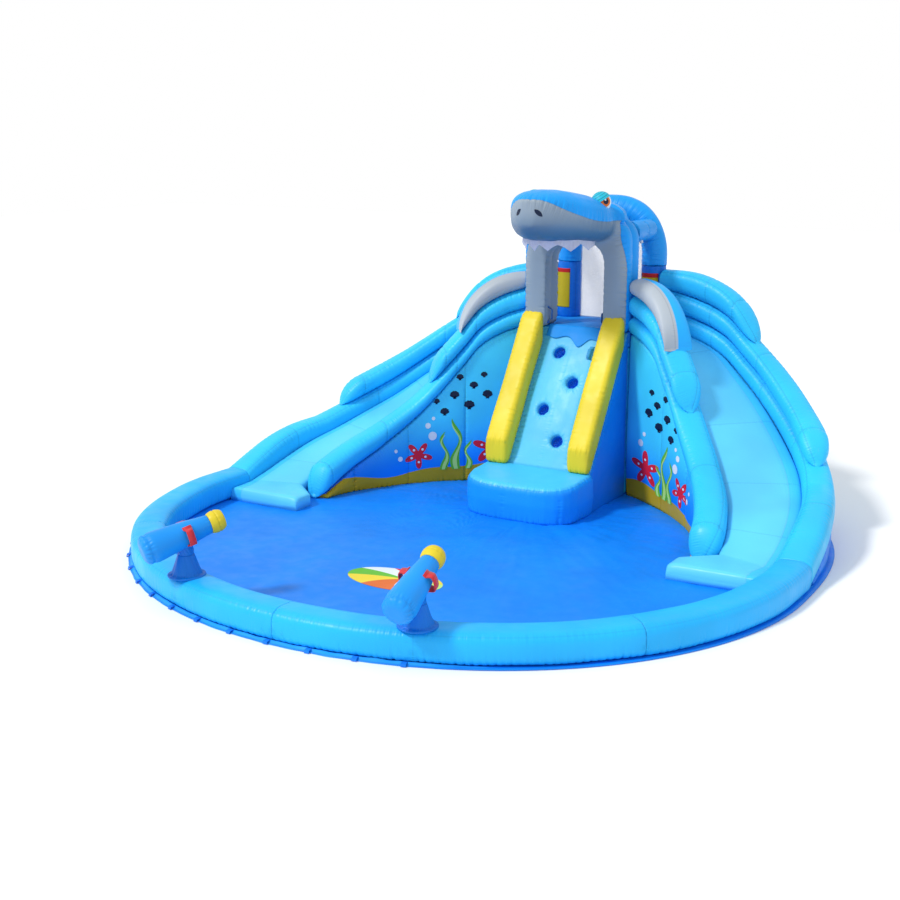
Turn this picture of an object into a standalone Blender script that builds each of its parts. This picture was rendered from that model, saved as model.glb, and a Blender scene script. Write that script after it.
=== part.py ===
"""Inflatable water park: a round paddling pool, two curved slides, a climbing
wall, a tower under a shark's head, and two water cannons that swivel and tilt.

Lengths are metres and angles are degrees. Plan positions are counted from the
middle of the round pool, with +Y towards the tower, and the right half is
mirrored to the left. The empty park_origin then moves the whole park so that
its origin is the middle of the ground that it covers.
"""
import math

import bmesh
import bpy
from mathutils import Matrix, Vector

GAP = 0.0003

# Pool ring and ground sheet
HALF_WIDTH = 2.48
FRONT_REACH = 2.325
FRONT_ROUNDNESS = 2.05
REAR_REACH = 2.50
REAR_ROUNDNESS = 2.6
RING_WIDTH = 0.26
RING_HEIGHT = 0.20
RING_ROUNDNESS = 3.2
RING_SPLIT = 0.43
SEAM_Y = 0.20
SEAM_LAP = 0.03
FLOOR_THICK = 0.008
HEM = 0.02
BASE_Z = FLOOR_THICK + GAP
CHAMBER_WALL = 0.03

# Tower
DECK_TOP = 1.36
DECK_THICK = 0.12
TOWER_HALF = 0.46
TOWER_BACK = 2.47
WALL_FOOT_Y = 1.10
WALL_TOP_Y = 1.75
WALL_FOOT_Z = 0.33
WALL_CROWN = 0.035
WALL_FIELD_HALF = 0.262

# Landing step in front of the climbing wall
STEP_HALF = 0.485
STEP_FRONT_Y = 0.60
STEP_SQUARENESS = 3.4
STEP_EDGE_Z = 0.285
STEP_ROUND = 0.03

# Foot holes, counted up the slope of the wall
FOOT_HOLE_COUNT = 4
FOOT_HOLE_RADIUS = 0.058
FOOT_HOLE_DEPTH = 0.07
FOOT_HOLE_FIRST = 0.225
FOOT_HOLE_STEP = 0.253
FOOT_HOLE_SIDE = 0.095

# Yellow rails on the climbing wall
RAIL_INNER = 0.268
RAIL_FRONT_Y = 1.03
RAIL_FRONT_RISE = 0.19
RAIL_THICK = 0.14
RAIL_TOP_Z = 1.505
RAIL_TOP_DEPTH = 0.07
RAIL_ROUND = 0.03

# Slides
EXIT_Z = 0.12
EXIT_FRONT_Y = -0.05
EXIT_INNER_X = 1.56
EXIT_CLEAR = 0.004
BED_THICK = 0.10
CURB = 0.13
SLIDE_SHAPE = (
    (0.0, 1.0),
    (0.10, 0.95),
    (0.20, 0.86),
    (0.28, 0.72),
    (0.47, 0.42),
    (0.65, 0.235),
    (0.80, 0.13),
    (0.92, 0.045),
    (1.0, 0.0),
)
BODY_FRONT_Y = 0.40
SKIRT_INSET = 0.03
PANEL_INSET = 0.035

# Wall tubes beside the slides
TUBE_SIDES = 12
TUBE_ROUNDNESS = 2.4
OUTER_TUBE_WIDTH = 0.21
LOW_TUBE_HEIGHT = 0.19
MID_TUBE_HEIGHT = 0.17
TOP_TUBE_HEIGHT = 0.15
TOP_TUBE_SWELL = 0.05
LOW_TUBE_SWELL = 0.05
LOW_TUBE_SWELL_START = 0.70
MID_TUBE_END = 0.63
TOP_TUBE_END = 0.29
INNER_TUBE_WIDTH = 0.24
INNER_LOW_HEIGHT = 0.15
INNER_TIP_HEIGHT = 0.238
HIGH_TUBE_END = 0.42
FIN_END = 0.29
FIN_RISE = 0.13
INNER_TIP = (1.67, 0.33)
INNER_START_Y = 1.823
INNER_START_TURN = 30.0
INNER_START_PULL = 0.62
INNER_TIP_TURN = 3.0
INNER_TIP_PULL = 0.62
EVEN_STATIONS = 12
CLOSING = ((0.06, 1.0), (0.03, 0.86), (0.01, 0.56), (0.0, 0.22))

# Front arch that carries the shark's head
ARCH_FRONT_Y = 1.672
ARCH_GREY_DEPTH = 0.125
ARCH_BLUE_DEPTH = 0.13
ARCH_INNER_HALF = 0.262
ARCH_CROWN_Z = 2.09
ARCH_SPRING_Z = 1.90
ARCH_HEAD_Z = 2.25
ARCH_HEAD_HALF = 0.425
ARCH_ROUND = 0.04

# Shark's head
HEAD_NOSE_Y = 0.83
HEAD_HALF = 0.43
HEAD_POINT = 1.7
HEAD_TAPER = 0.30
HEAD_ROUND = 0.85
JAW_ROUND = 0.62
HEAD_TOP = (
    (0.0, 2.43),
    (0.05, 2.455),
    (0.2, 2.495),
    (0.4, 2.50),
    (0.75, 2.46),
    (1.0, 2.42),
    (1.3, 2.385),
)
HEAD_LINE = (
    (0.0, 2.413),
    (0.04, 2.418),
    (0.12, 2.40),
    (0.3, 2.35),
    (0.6, 2.285),
    (1.0, 2.25),
    (1.3, 2.25),
)
HEAD_CHIN = (
    (0.0, 2.27),
    (0.05, 2.185),
    (0.15, 2.14),
    (0.4, 2.11),
    (0.8, 2.075),
    (1.0, 2.07),
)
HEAD_ARC_POINTS = 9
EYE_X = 0.30
EYE_Y = 1.52
EYE_Z = 2.40
EYE_RADIUS = 0.078
TEETH_THICK = 0.006
TEETH_DROP = 0.088
TEETH_HALF = 0.31
TEETH_FRONT_Y = 1.00
TEETH_BACK_Y = 1.45
TEETH_COUNT = 7
TEETH_STEPS = 6

# Rear posts and rear arch
POST_RADIUS = 0.105
POST_X = 0.39
POST_Y = 2.385
POST_TOP_Z = 1.84
REAR_SPRING_Z = 1.905
REAR_CROWN_Z = 2.305
REAR_ROUND_POWER = 2.3
NET_THICK = 0.004

# Side beams with their spray heads
BEAM_X = 0.36
BEAM_Z = 2.14
BEAM_RADIUS = 0.088
SPRAY_Y = 2.06
SPRAY_DIP = 60.0
SPRAY_RADIUS = 0.016
SPRAY_LENGTH = 0.022

# Hand straps
STRAP_WIDTH = 0.03
STRAP_THICK = 0.006
LEG_STRAP_LENGTH = 0.15
LEG_STRAP_STAND = 0.03
LEG_STRAP_Z = 1.46
WALL_STRAP_LENGTH = 0.14
WALL_STRAP_X = 0.185
WALL_STRAP_RUN = 0.99
WALL_STRAP_SEAT = 0.010

# Air inlet low on the back of the tower
INLET_RADIUS = 0.075
INLET_WALL = 0.008
INLET_LENGTH = 0.09
INLET_X = 0.22
INLET_Z = 0.16

# Water cannons
CANNON_X = 0.87
CANNON_Y = -2.08
CANNON_AIM = {"right": (5.0, 22.0), "left": (-30.0, 15.0)}
STAND_FOOT_RADIUS = 0.10
STAND_TOP_RADIUS = 0.052
STAND_FLANGE_RADIUS = 0.122
STAND_FLANGE_THICK = 0.01
STAND_TOP_Z = 0.345
NECK_TOP_Z = 0.39
NECK_TOP_RADIUS = 0.046
BARREL_AXIS_Z = 0.475
BARREL_BACK = 0.215
BARREL_FRONT = 0.165
BARREL_TAIL_RADIUS = 0.10
BARREL_MUZZLE_RADIUS = 0.061
BARREL_TAPER_AT_AXIS = 0.45
BARREL_TAPER_AHEAD = 0.85
BARREL_AHEAD = 0.7
CAP_RADIUS = 0.073
CAP_LENGTH = 0.10
GRIP_STEPS = ((-50, 0.0), (-38, 0.0), (-26, 1.0), (0, 1.0), (26, 1.0), (38, 0.0), (50, 0.0))
GRIP_STAND = 0.03
GRIP_SEAT = 0.006
GRIP_WIDTH = 0.038
GRIP_THICK = 0.010
GRIP_ALONG = 0.01

COLOURS = {
    "sky_vinyl": ((0.10, 0.55, 0.95), 0.35),
    "pale_vinyl": ((0.25, 0.72, 0.95), 0.35),
    "floor_vinyl": ((0.03, 0.25, 0.85), 0.35),
    "deep_vinyl": ((0.02, 0.20, 0.70), 0.40),
    "grey_vinyl": ((0.38, 0.45, 0.55), 0.45),
    "yellow_vinyl": ((0.95, 0.85, 0.10), 0.40),
    "teeth_fabric": ((0.75, 0.78, 0.92), 0.60),
    "net_fabric": ((0.75, 0.75, 0.75), 0.70),
    "red_strap": ((0.85, 0.03, 0.05), 0.55),
    "blue_strap": ((0.02, 0.10, 0.40), 0.65),
    "fitting_plastic": ((0.80, 0.82, 0.85), 0.40),
}


def clear_scene():
    for existing in list(bpy.data.objects):
        bpy.data.objects.remove(existing)


def make_materials():
    materials = {}
    for name, (colour, roughness) in COLOURS.items():
        material = bpy.data.materials.new(name)
        material.use_nodes = True
        shader = material.node_tree.nodes["Principled BSDF"]
        shader.inputs["Base Color"].default_value = (*colour, 1.0)
        shader.inputs["Roughness"].default_value = roughness
        shader.inputs["Metallic"].default_value = 0.0
        materials[name] = material
    return materials


def make_origin():
    origin = bpy.data.objects.new("park_origin", None)
    bpy.context.collection.objects.link(origin)
    return origin


def centre_origin():
    """The park is moved so that its origin lies under the middle of its box."""
    bpy.context.view_layer.update()
    depsgraph = bpy.context.evaluated_depsgraph_get()
    reach = []
    for part in bpy.data.objects:
        if part.type == "MESH" and not part.hide_render:
            shape = part.evaluated_get(depsgraph)
            place = shape.matrix_world
            reach += [(place @ vertex.co).y for vertex in shape.data.vertices]
    ORIGIN.location = (0.0, -(min(reach) + max(reach)) / 2, 0.0)


def add_pivot(name, parent, spot, turn):
    """An empty on a joint's axis, which carries what moves about that axis."""
    pivot = bpy.data.objects.new(name, None)
    pivot.parent = parent
    pivot.location = spot
    pivot.rotation_euler = [math.radians(angle) for angle in turn]
    bpy.context.collection.objects.link(pivot)
    return pivot


def add_object(name, bm, material, smooth=True, parent=None):
    """A bmesh becomes a named object, under park_origin or under a pivot."""
    mesh = bpy.data.meshes.new(name)
    bmesh.ops.recalc_face_normals(bm, faces=bm.faces)
    bm.to_mesh(mesh)
    bm.free()
    if smooth:
        mesh.shade_smooth()
        mesh.set_sharp_from_angle(angle=math.radians(40))
    mesh.materials.append(MATERIALS[material])
    part = bpy.data.objects.new(name, mesh)
    part.parent = parent or ORIGIN
    bpy.context.collection.objects.link(part)
    return part


def hide_cutter(cutter):
    cutter.hide_render = True
    cutter.display_type = "WIRE"


def cut_away(part, cutter):
    cut = part.modifiers.new("cut", "BOOLEAN")
    cut.operation = "DIFFERENCE"
    cut.object = cutter
    cut.solver = "EXACT"


def cut_clear_of(part, neighbour, name):
    """The part is cut by its neighbour, swollen by the gap that they keep."""
    bm = bmesh.new()
    bm.from_mesh(neighbour.data)
    bm.normal_update()
    moves = [(vertex, vertex.normal * GAP * 1.6) for vertex in bm.verts]
    for vertex, move in moves:
        vertex.co += move
    cutter = add_object(name, bm, "grey_vinyl", smooth=False, parent=neighbour.parent)
    hide_cutter(cutter)
    cut_away(part, cutter)


def hollow_out(part, bm, name):
    """An air chamber's hollow, left open below because it can't be sealed."""
    cutter = add_object(name, bm, "grey_vinyl", smooth=False)
    hide_cutter(cutter)
    cut_away(part, cutter)


def smooth_through(points, at):
    """A smooth curve through a few points, read at one place."""
    if at <= points[0][0]:
        return points[0][1]
    for index in range(len(points) - 1):
        x0, y0 = points[index]
        x1, y1 = points[index + 1]
        if at <= x1:
            break
    else:
        return points[-1][1]

    def slope(k):
        low = points[max(k - 1, 0)]
        high = points[min(k + 1, len(points) - 1)]
        return (high[1] - low[1]) / (high[0] - low[0])

    span = x1 - x0
    t = (at - x0) / span
    rise = slope(index) * span
    fall = slope(index + 1) * span
    a = 2 * t**3 - 3 * t**2 + 1
    b = t**3 - 2 * t**2 + t
    c = -2 * t**3 + 3 * t**2
    d = t**3 - t**2
    return a * y0 + b * rise + c * y1 + d * fall


def mix(low, high, share):
    return low + (high - low) * share


def signed_power(value, power):
    return math.copysign(abs(value) ** power, value)


class Plan:
    """A line on the ground, walked by share of its length from 0 to 1."""

    def __init__(self, points):
        self.points = [Vector(point) for point in points]
        self.reach = [0.0]
        for start, end in zip(self.points, self.points[1:]):
            self.reach.append(self.reach[-1] + (end - start).length)
        self.length = self.reach[-1]

    def spot(self, share):
        goal = share * self.length
        for index in range(len(self.points) - 1):
            if goal <= self.reach[index + 1]:
                break
        span = self.reach[index + 1] - self.reach[index]
        t = (goal - self.reach[index]) / span
        return self.points[index].lerp(self.points[index + 1], t)

    def beside(self, share, offset):
        """A spot moved sideways, away from the pool where offset is positive."""
        step = 0.01
        low = max(share - step, 0.0)
        high = min(share + step, 1.0)
        heading = (self.spot(high) - self.spot(low)).normalized()
        side = Vector((-heading.y, heading.x))
        return self.spot(share) + side * offset


def rear_point(angle):
    x = HALF_WIDTH * signed_power(math.cos(angle), 2 / REAR_ROUNDNESS)
    y = REAR_REACH * signed_power(math.sin(angle), 2 / REAR_ROUNDNESS)
    return (x, y)


def front_point(angle):
    x = HALF_WIDTH * signed_power(math.cos(angle), 2 / FRONT_ROUNDNESS)
    y = -FRONT_REACH * signed_power(math.sin(angle), 2 / FRONT_ROUNDNESS)
    return (x, y)


def rear_angle_at_y(y):
    return math.asin((y / REAR_REACH) ** (REAR_ROUNDNESS / 2))


def rear_angle_at_x(x):
    return math.acos((x / HALF_WIDTH) ** (REAR_ROUNDNESS / 2))


def arc_samples(function, start, end, count=160):
    return [function(mix(start, end, k / count)) for k in range(count + 1)]


def outer_plan():
    """The outer face of the slide walls, from the tower to just past the seam."""
    start = rear_angle_at_x(TOWER_HALF + 0.03)
    end = rear_angle_at_y(SEAM_Y - SEAM_LAP)
    return Plan(arc_samples(rear_point, start, end))


def ring_plan():
    """The outer face of the ring, from just behind the seam to the front."""
    beside = arc_samples(rear_point, rear_angle_at_y(SEAM_Y + SEAM_LAP), 0.0, 40)
    ahead = arc_samples(front_point, 0.0, math.pi / 2)
    return Plan(beside + ahead[1:])


def inner_plan():
    """The middle of the wall between a slide and the pool, as one Bezier curve."""
    turn = math.radians(INNER_START_TURN)
    start_x = TOWER_HALF + 5 * GAP + INNER_TUBE_WIDTH / 2 * math.sin(turn)
    start = Vector((start_x, INNER_START_Y))
    start_heading = Vector((math.cos(turn), -math.sin(turn)))
    tip_turn = math.radians(INNER_TIP_TURN)
    tip = Vector(INNER_TIP)
    tip_heading = Vector((math.sin(tip_turn), -math.cos(tip_turn)))
    pull = start + start_heading * INNER_START_PULL
    draw = tip - tip_heading * INNER_TIP_PULL

    def point(t):
        u = 1 - t
        return start * u**3 + pull * 3 * u * u * t + draw * 3 * u * t * t + tip * t**3

    return Plan(arc_samples(point, 0.0, 1.0))


def slide_stations():
    """Shares of the slides at which every wall and bed has a section."""
    chosen = []
    for end in (TOP_TUBE_END, MID_TUBE_END, HIGH_TUBE_END, FIN_END):
        chosen += [end - before for before, _ in CLOSING]
    spacing = 0.45 / EVEN_STATIONS
    for k in range(EVEN_STATIONS + 1):
        share = k / EVEN_STATIONS
        if all(abs(share - other) > spacing for other in chosen) or k in (0, EVEN_STATIONS):
            chosen.append(share)
    kept = []
    for share in sorted(chosen):
        if not kept or share - kept[-1] > 1e-6:
            kept.append(share)
    return kept


def bed_z(share):
    return EXIT_Z + (DECK_TOP - EXIT_Z) * smooth_through(SLIDE_SHAPE, share)


def inner_rail_z(share):
    """The top of the lowest tube between a slide and the pool."""
    return bed_z(share) + CURB


def low_tube_swell(share):
    """How much fuller the lowest outer tube is on its way down to the ring."""
    along = max(share - LOW_TUBE_SWELL_START, 0.0) / (1 - LOW_TUBE_SWELL_START)
    return LOW_TUBE_SWELL * math.sin(math.pi * along)


def outer_rail_z(share):
    """The top of the lowest outer tube, which comes down to the ring's top."""
    curb = mix(CURB, BASE_Z + RING_HEIGHT - EXIT_Z, share**3)
    return bed_z(share) + curb + low_tube_swell(share)


def outer_width(share):
    return mix(OUTER_TUBE_WIDTH, RING_WIDTH, share**3)


def low_outer_height(share):
    return mix(LOW_TUBE_HEIGHT, RING_HEIGHT, share**3) + low_tube_swell(share)


def outer_roundness(share):
    return mix(TUBE_ROUNDNESS, RING_ROUNDNESS, share**3)


def low_inner_height(share):
    return mix(INNER_LOW_HEIGHT, INNER_TIP_HEIGHT, share**2)


def section(width, height, top=1.0, roundness=TUBE_ROUNDNESS):
    """A tube's section as (side, rise) pairs, flat below and above."""
    power = 2 / roundness
    reach = math.cos(math.pi / TUBE_SIDES) ** power
    points = []
    for k in range(TUBE_SIDES):
        angle = 2 * math.pi * (k + 0.5) / TUBE_SIDES
        side = signed_power(math.cos(angle), power) / reach
        rise = (signed_power(math.sin(angle), power) / reach + 1) / 2
        side *= 1 - (1 - top) * rise * 0.45
        points.append((side * width / 2, rise * height * top))
    return points


def flat_half(width, roundness=TUBE_ROUNDNESS):
    """Half the width of a section's flat underside."""
    return max(side for side, rise in section(width, 1.0, 1.0, roundness) if rise < 1e-9)


def loft(rings, mirrored=False, turned=False):
    """Rings of as many points each are joined by triangles and closed by caps."""
    bm = bmesh.new()
    flip = -1 if mirrored else 1
    rows = [[bm.verts.new((flip * x, y, z)) for x, y, z in ring] for ring in rings]
    count = len(rows[0])
    for near, far in zip(rows, rows[1:]):
        for i in range(count):
            j = (i + 1) % count
            if turned:
                bm.faces.new((near[i], near[j], far[i]))
                bm.faces.new((near[j], far[j], far[i]))
            else:
                bm.faces.new((near[i], near[j], far[j]))
                bm.faces.new((near[i], far[j], far[i]))
    bm.faces.new(rows[0])
    bm.faces.new(rows[-1])
    return bm


def raised(point, z):
    return (point.x, point.y, z)


def wall_tube(plan, end, middle, width, bottom, height, roundness):
    """Rings of a wall tube along a plan, closing in a blunt dome at its end."""
    closing = {round(end - before, 6): top for before, top in CLOSING}
    rings = []
    for share in STATIONS:
        if share > end + 1e-6:
            break
        top = closing.get(round(share, 6), 1.0) if end < 1 else 1.0
        ring = []
        for side, rise in section(width(share), height(share), top, roundness(share)):
            spot = plan.beside(share, middle(share) + side)
            ring.append(raised(spot, bottom(share) + rise))
        rings.append(ring)
    return rings


def add_both(name, rings, material, turned=False):
    """A lofted piece on the right, and its mirror image on the left."""
    right = add_object(name + "_right", loft(rings, turned=turned), material)
    left = add_object(name + "_left", loft(rings, mirrored=True, turned=turned), material)
    return right, left


def cut_at(near, far, axis, value):
    """The flat ring where lines from one ring to the next meet a plane."""
    ring = []
    for start, end in zip(near, far):
        share = (start[axis] - value) / (start[axis] - end[axis])
        ring.append(tuple(Vector(start).lerp(Vector(end), share)))
    return ring


def make_ring():
    """The pool's ring: two tubes a side, butted at seams and flat below."""
    plan = RING_PLAN
    clear = GAP / plan.length
    runs = {
        "ring_side": (0.0, RING_SPLIT - clear / 2, 7),
        "ring_front": (RING_SPLIT + clear / 2, 1 - clear / 2, 10),
    }
    for name, (start, end, count) in runs.items():
        rings = []
        for k in range(count + 1):
            share = mix(start, end, k / count)
            ring = []
            for side, rise in section(RING_WIDTH, RING_HEIGHT, 1.0, RING_ROUNDNESS):
                spot = plan.beside(share, side - RING_WIDTH / 2)
                ring.append(raised(spot, BASE_Z + rise))
            rings.append(ring)
        if name == "ring_side":
            rings[0] = cut_at(rings[0], rings[1], 1, SEAM_Y - GAP / 2)
        else:
            middle_y = RING_WIDTH / 2 - FRONT_REACH
            rings[-1] = [
                (GAP / 2, middle_y - side, BASE_Z + rise)
                for side, rise in section(RING_WIDTH, RING_HEIGHT, 1.0, RING_ROUNDNESS)
            ]
        add_both(name, rings, "sky_vinyl")


def make_floor():
    """One ground sheet under everything, with a hem that shows all round."""
    points = [Vector((0.0, REAR_REACH + HEM))]
    for share in STATIONS[:-1]:
        points.append(OUTER.beside(share, HEM))
    for start, end, count in ((0.0, RING_SPLIT, 7), (RING_SPLIT, 1.0, 10)):
        for k in range(1, count + 1):
            points.append(RING_PLAN.beside(mix(start, end, k / count), HEM))
    outline = [(p.x, p.y) for p in points]
    outline[-1] = (0.0, outline[-1][1])
    left = [(-x, y) for x, y in reversed(outline[1:-1])]
    bm = bmesh.new()
    face = bm.faces.new([bm.verts.new((x, y, 0.0)) for x, y in outline + left])
    grown = bmesh.ops.extrude_face_region(bm, geom=[face])
    top = [item for item in grown["geom"] if isinstance(item, bmesh.types.BMVert)]
    bmesh.ops.translate(bm, verts=top, vec=(0, 0, FLOOR_THICK))
    add_object("pool_floor", bm, "floor_vinyl", smooth=False)


def body_ring(share):
    """One section of a slide's body, from the pool side to the outer skirt."""
    low = BASE_Z
    inner_half = INNER_TUBE_WIDTH / 2
    inner_flat = flat_half(INNER_TUBE_WIDTH)
    under_inner = inner_rail_z(share) - low_inner_height(share) - GAP
    under_bed = bed_z(share) - BED_THICK - GAP
    width = outer_width(share)
    outer_flat = flat_half(width, outer_roundness(share))
    under_outer = outer_rail_z(share) - low_outer_height(share) - GAP
    panel = -inner_half + PANEL_INSET
    beside_inner = [
        (panel, low),
        (panel - PANEL_INSET * 0.6, mix(low, under_inner, 0.5)),
        (panel, under_inner),
        (-inner_flat, under_inner),
        (inner_flat, under_inner),
        (inner_half - 0.005, under_inner),
        (inner_half - 0.005, under_bed),
        (inner_half + GAP, under_bed),
    ]
    beside_outer = [
        (-width - GAP, under_bed),
        (-width + 0.005, under_bed),
        (-width + 0.005, under_outer),
        (-width / 2 - outer_flat, under_outer),
        (-width / 2 + outer_flat, under_outer),
        (-SKIRT_INSET, under_outer),
        (-SKIRT_INSET, low),
    ]
    ring = [raised(INNER.beside(share, side), z) for side, z in beside_inner]
    ring += [raised(OUTER.beside(share, side), z) for side, z in beside_outer]
    return ring


def bed_ring(share):
    """One section of a slide's bed, slightly crowned between its walls."""
    top = bed_z(share)
    bottom = top - BED_THICK
    inner = INNER.beside(share, INNER_TUBE_WIDTH / 2 + GAP)
    clear = GAP if share < 1 else EXIT_CLEAR / 2
    outer = OUTER.beside(share, -outer_width(share) - clear)
    return bed_points(inner, outer, bottom, top)


def bed_points(inner, outer, bottom, top):
    ring = [raised(inner, bottom), raised(inner, top - 0.02)]
    for across in (0.12, 0.5, 0.88):
        ring.append(raised(inner.lerp(outer, across), top))
    ring += [raised(outer, top - 0.02), raised(outer, bottom)]
    return ring


def against_tower(ring):
    """A copy of a ring, moved sideways to the tower's side."""
    return [(TOWER_HALF + GAP, y, z) for _, y, z in ring]


def body_hollow():
    """Sections of the air chamber inside a slide's body."""
    rings = []
    for share in STATIONS[1:]:
        top = bed_z(share) - BED_THICK - CHAMBER_WALL
        if top < BASE_Z + CHAMBER_WALL:
            break
        inner = INNER.beside(share, -INNER_TUBE_WIDTH / 2 + PANEL_INSET + CHAMBER_WALL)
        outer = OUTER.beside(share, -SKIRT_INSET - CHAMBER_WALL)
        ring = [raised(inner, 0.0), raised(inner, top), raised(outer, top), raised(outer, 0.0)]
        rings.append(ring)
    return rings


def make_slides():
    """Each slide's inflated body, with its bed laid on it between the walls."""
    body = [body_ring(share) for share in STATIONS]
    body = [against_tower(body[0])] + body[:-1] + [cut_at(body[-2], body[-1], 1, BODY_FRONT_Y)]
    right, left = add_both("slide_body", body, "floor_vinyl")
    hollow_out(right, loft(body_hollow()), "slide_hollow_right")
    hollow_out(left, loft(body_hollow(), mirrored=True), "slide_hollow_left")
    bed = [bed_ring(share) for share in STATIONS]
    outer_x = HALF_WIDTH - RING_WIDTH - EXIT_CLEAR
    for y in (mix(EXIT_FRONT_Y, INNER_TIP[1], 0.62), EXIT_FRONT_Y + 0.02, EXIT_FRONT_Y):
        top = EXIT_Z if y > EXIT_FRONT_Y + 0.001 else EXIT_Z - 0.03
        inner = Vector((EXIT_INNER_X, y))
        outer = Vector((outer_x, y))
        bed.append(bed_points(inner, outer, BASE_Z, top))
    add_both("slide_bed", [against_tower(bed[0])] + bed, "pale_vinyl", turned=True)


def make_outer_walls():
    """Three tubes on the outside of each slide, each shorter than the one below."""

    def middle(share):
        return -outer_width(share) / 2

    def low_bottom(share):
        return outer_rail_z(share) - low_outer_height(share)

    def mid_bottom(share):
        return outer_rail_z(share) + GAP

    def top_bottom(share):
        return mid_bottom(share) + MID_TUBE_HEIGHT + GAP

    def top_height(share):
        return TOP_TUBE_HEIGHT + TOP_TUBE_SWELL * math.sin(math.pi * share / TOP_TUBE_END)

    runs = {
        "outer_tube_low": (1.0, low_bottom, low_outer_height),
        "outer_tube_mid": (MID_TUBE_END, mid_bottom, lambda share: MID_TUBE_HEIGHT),
        "outer_tube_top": (TOP_TUBE_END, top_bottom, top_height),
    }
    for name, (end, bottom, height) in runs.items():
        rings = wall_tube(OUTER, end, middle, outer_width, bottom, height, outer_roundness)
        rings[0] = cut_at(rings[0], rings[1], 0, POST_X + POST_RADIUS + GAP)
        if end == 1.0:
            rings[-1] = cut_at(rings[-2], rings[-1], 1, SEAM_Y + GAP / 2)
        add_both(name, rings, "sky_vinyl", turned=name == "outer_tube_mid")


def make_inner_walls():
    """Two tubes and an arched fin between each slide and the pool."""

    def middle(share):
        return 0.0

    def width(share):
        return INNER_TUBE_WIDTH

    def low_bottom(share):
        return inner_rail_z(share) - low_inner_height(share)

    def high_bottom(share):
        return inner_rail_z(share) + GAP

    def high_height(share):
        return MID_TUBE_HEIGHT

    def fin_bottom(share):
        return high_bottom(share) + MID_TUBE_HEIGHT + GAP

    def fin_height(share):
        start = fin_bottom(0.0) + FIN_RISE
        end = fin_bottom(FIN_END)
        arch = math.sqrt(max(1 - (share / FIN_END) ** 2, 0.0))
        return max(mix(end, start, arch) - fin_bottom(share), 0.02)

    def even(share):
        return TUBE_ROUNDNESS

    low = wall_tube(INNER, 1.0, middle, width, low_bottom, low_inner_height, even)
    add_both("inner_tube_low", low, "sky_vinyl")
    high = wall_tube(INNER, HIGH_TUBE_END, middle, width, high_bottom, high_height, even)
    add_both("inner_tube_high", high, "sky_vinyl", turned=True)
    fin = []
    for share in STATIONS:
        if share > FIN_END + 1e-6:
            break
        ring = []
        for side, rise in section(INNER_TUBE_WIDTH, fin_height(share)):
            spot = INNER.beside(share, side)
            ring.append(raised(spot, fin_bottom(share) + rise))
        fin.append(ring)
    add_both("side_fin", fin, "grey_vinyl")


def slope_frame():
    """The climbing wall's plane: a foot, a unit vector up it, and its normal."""
    foot = Vector((0.0, WALL_FOOT_Y, WALL_FOOT_Z))
    top = Vector((0.0, WALL_TOP_Y, DECK_TOP))
    up = (top - foot).normalized()
    normal = Vector((0.0, -up.z, up.y))
    return foot, up, normal


def box_bmesh(low, high):
    bm = bmesh.new()
    bmesh.ops.create_cube(bm, size=1.0)
    low = Vector(low)
    high = Vector(high)
    size = high - low
    bmesh.ops.scale(bm, vec=size, verts=bm.verts)
    bmesh.ops.translate(bm, vec=(low + high) / 2, verts=bm.verts)
    return bm


def bevel_edges(part, width, segments=2):
    bevel = part.modifiers.new("round", "BEVEL")
    bevel.width = width
    bevel.segments = segments
    bevel.limit_method = "ANGLE"
    bevel.angle_limit = math.radians(35)


def wall_hollow():
    """The air chamber behind the climbing face, clear of the foot holes."""
    foot, up, normal = slope_frame()
    inside = foot - normal * (FOOT_HOLE_DEPTH + CHAMBER_WALL)
    front = WALL_FOOT_Y + CHAMBER_WALL
    back = WALL_TOP_Y - CHAMBER_WALL

    def face_z(y):
        return inside.z + (y - inside.y) * up.z / up.y

    profile = [(front, 0.0), (front, face_z(front)), (back, face_z(back)), (back, 0.0)]
    half = TOWER_HALF - CHAMBER_WALL
    return loft([[(x, y, z) for y, z in profile] for x in (-half, half)])


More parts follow.
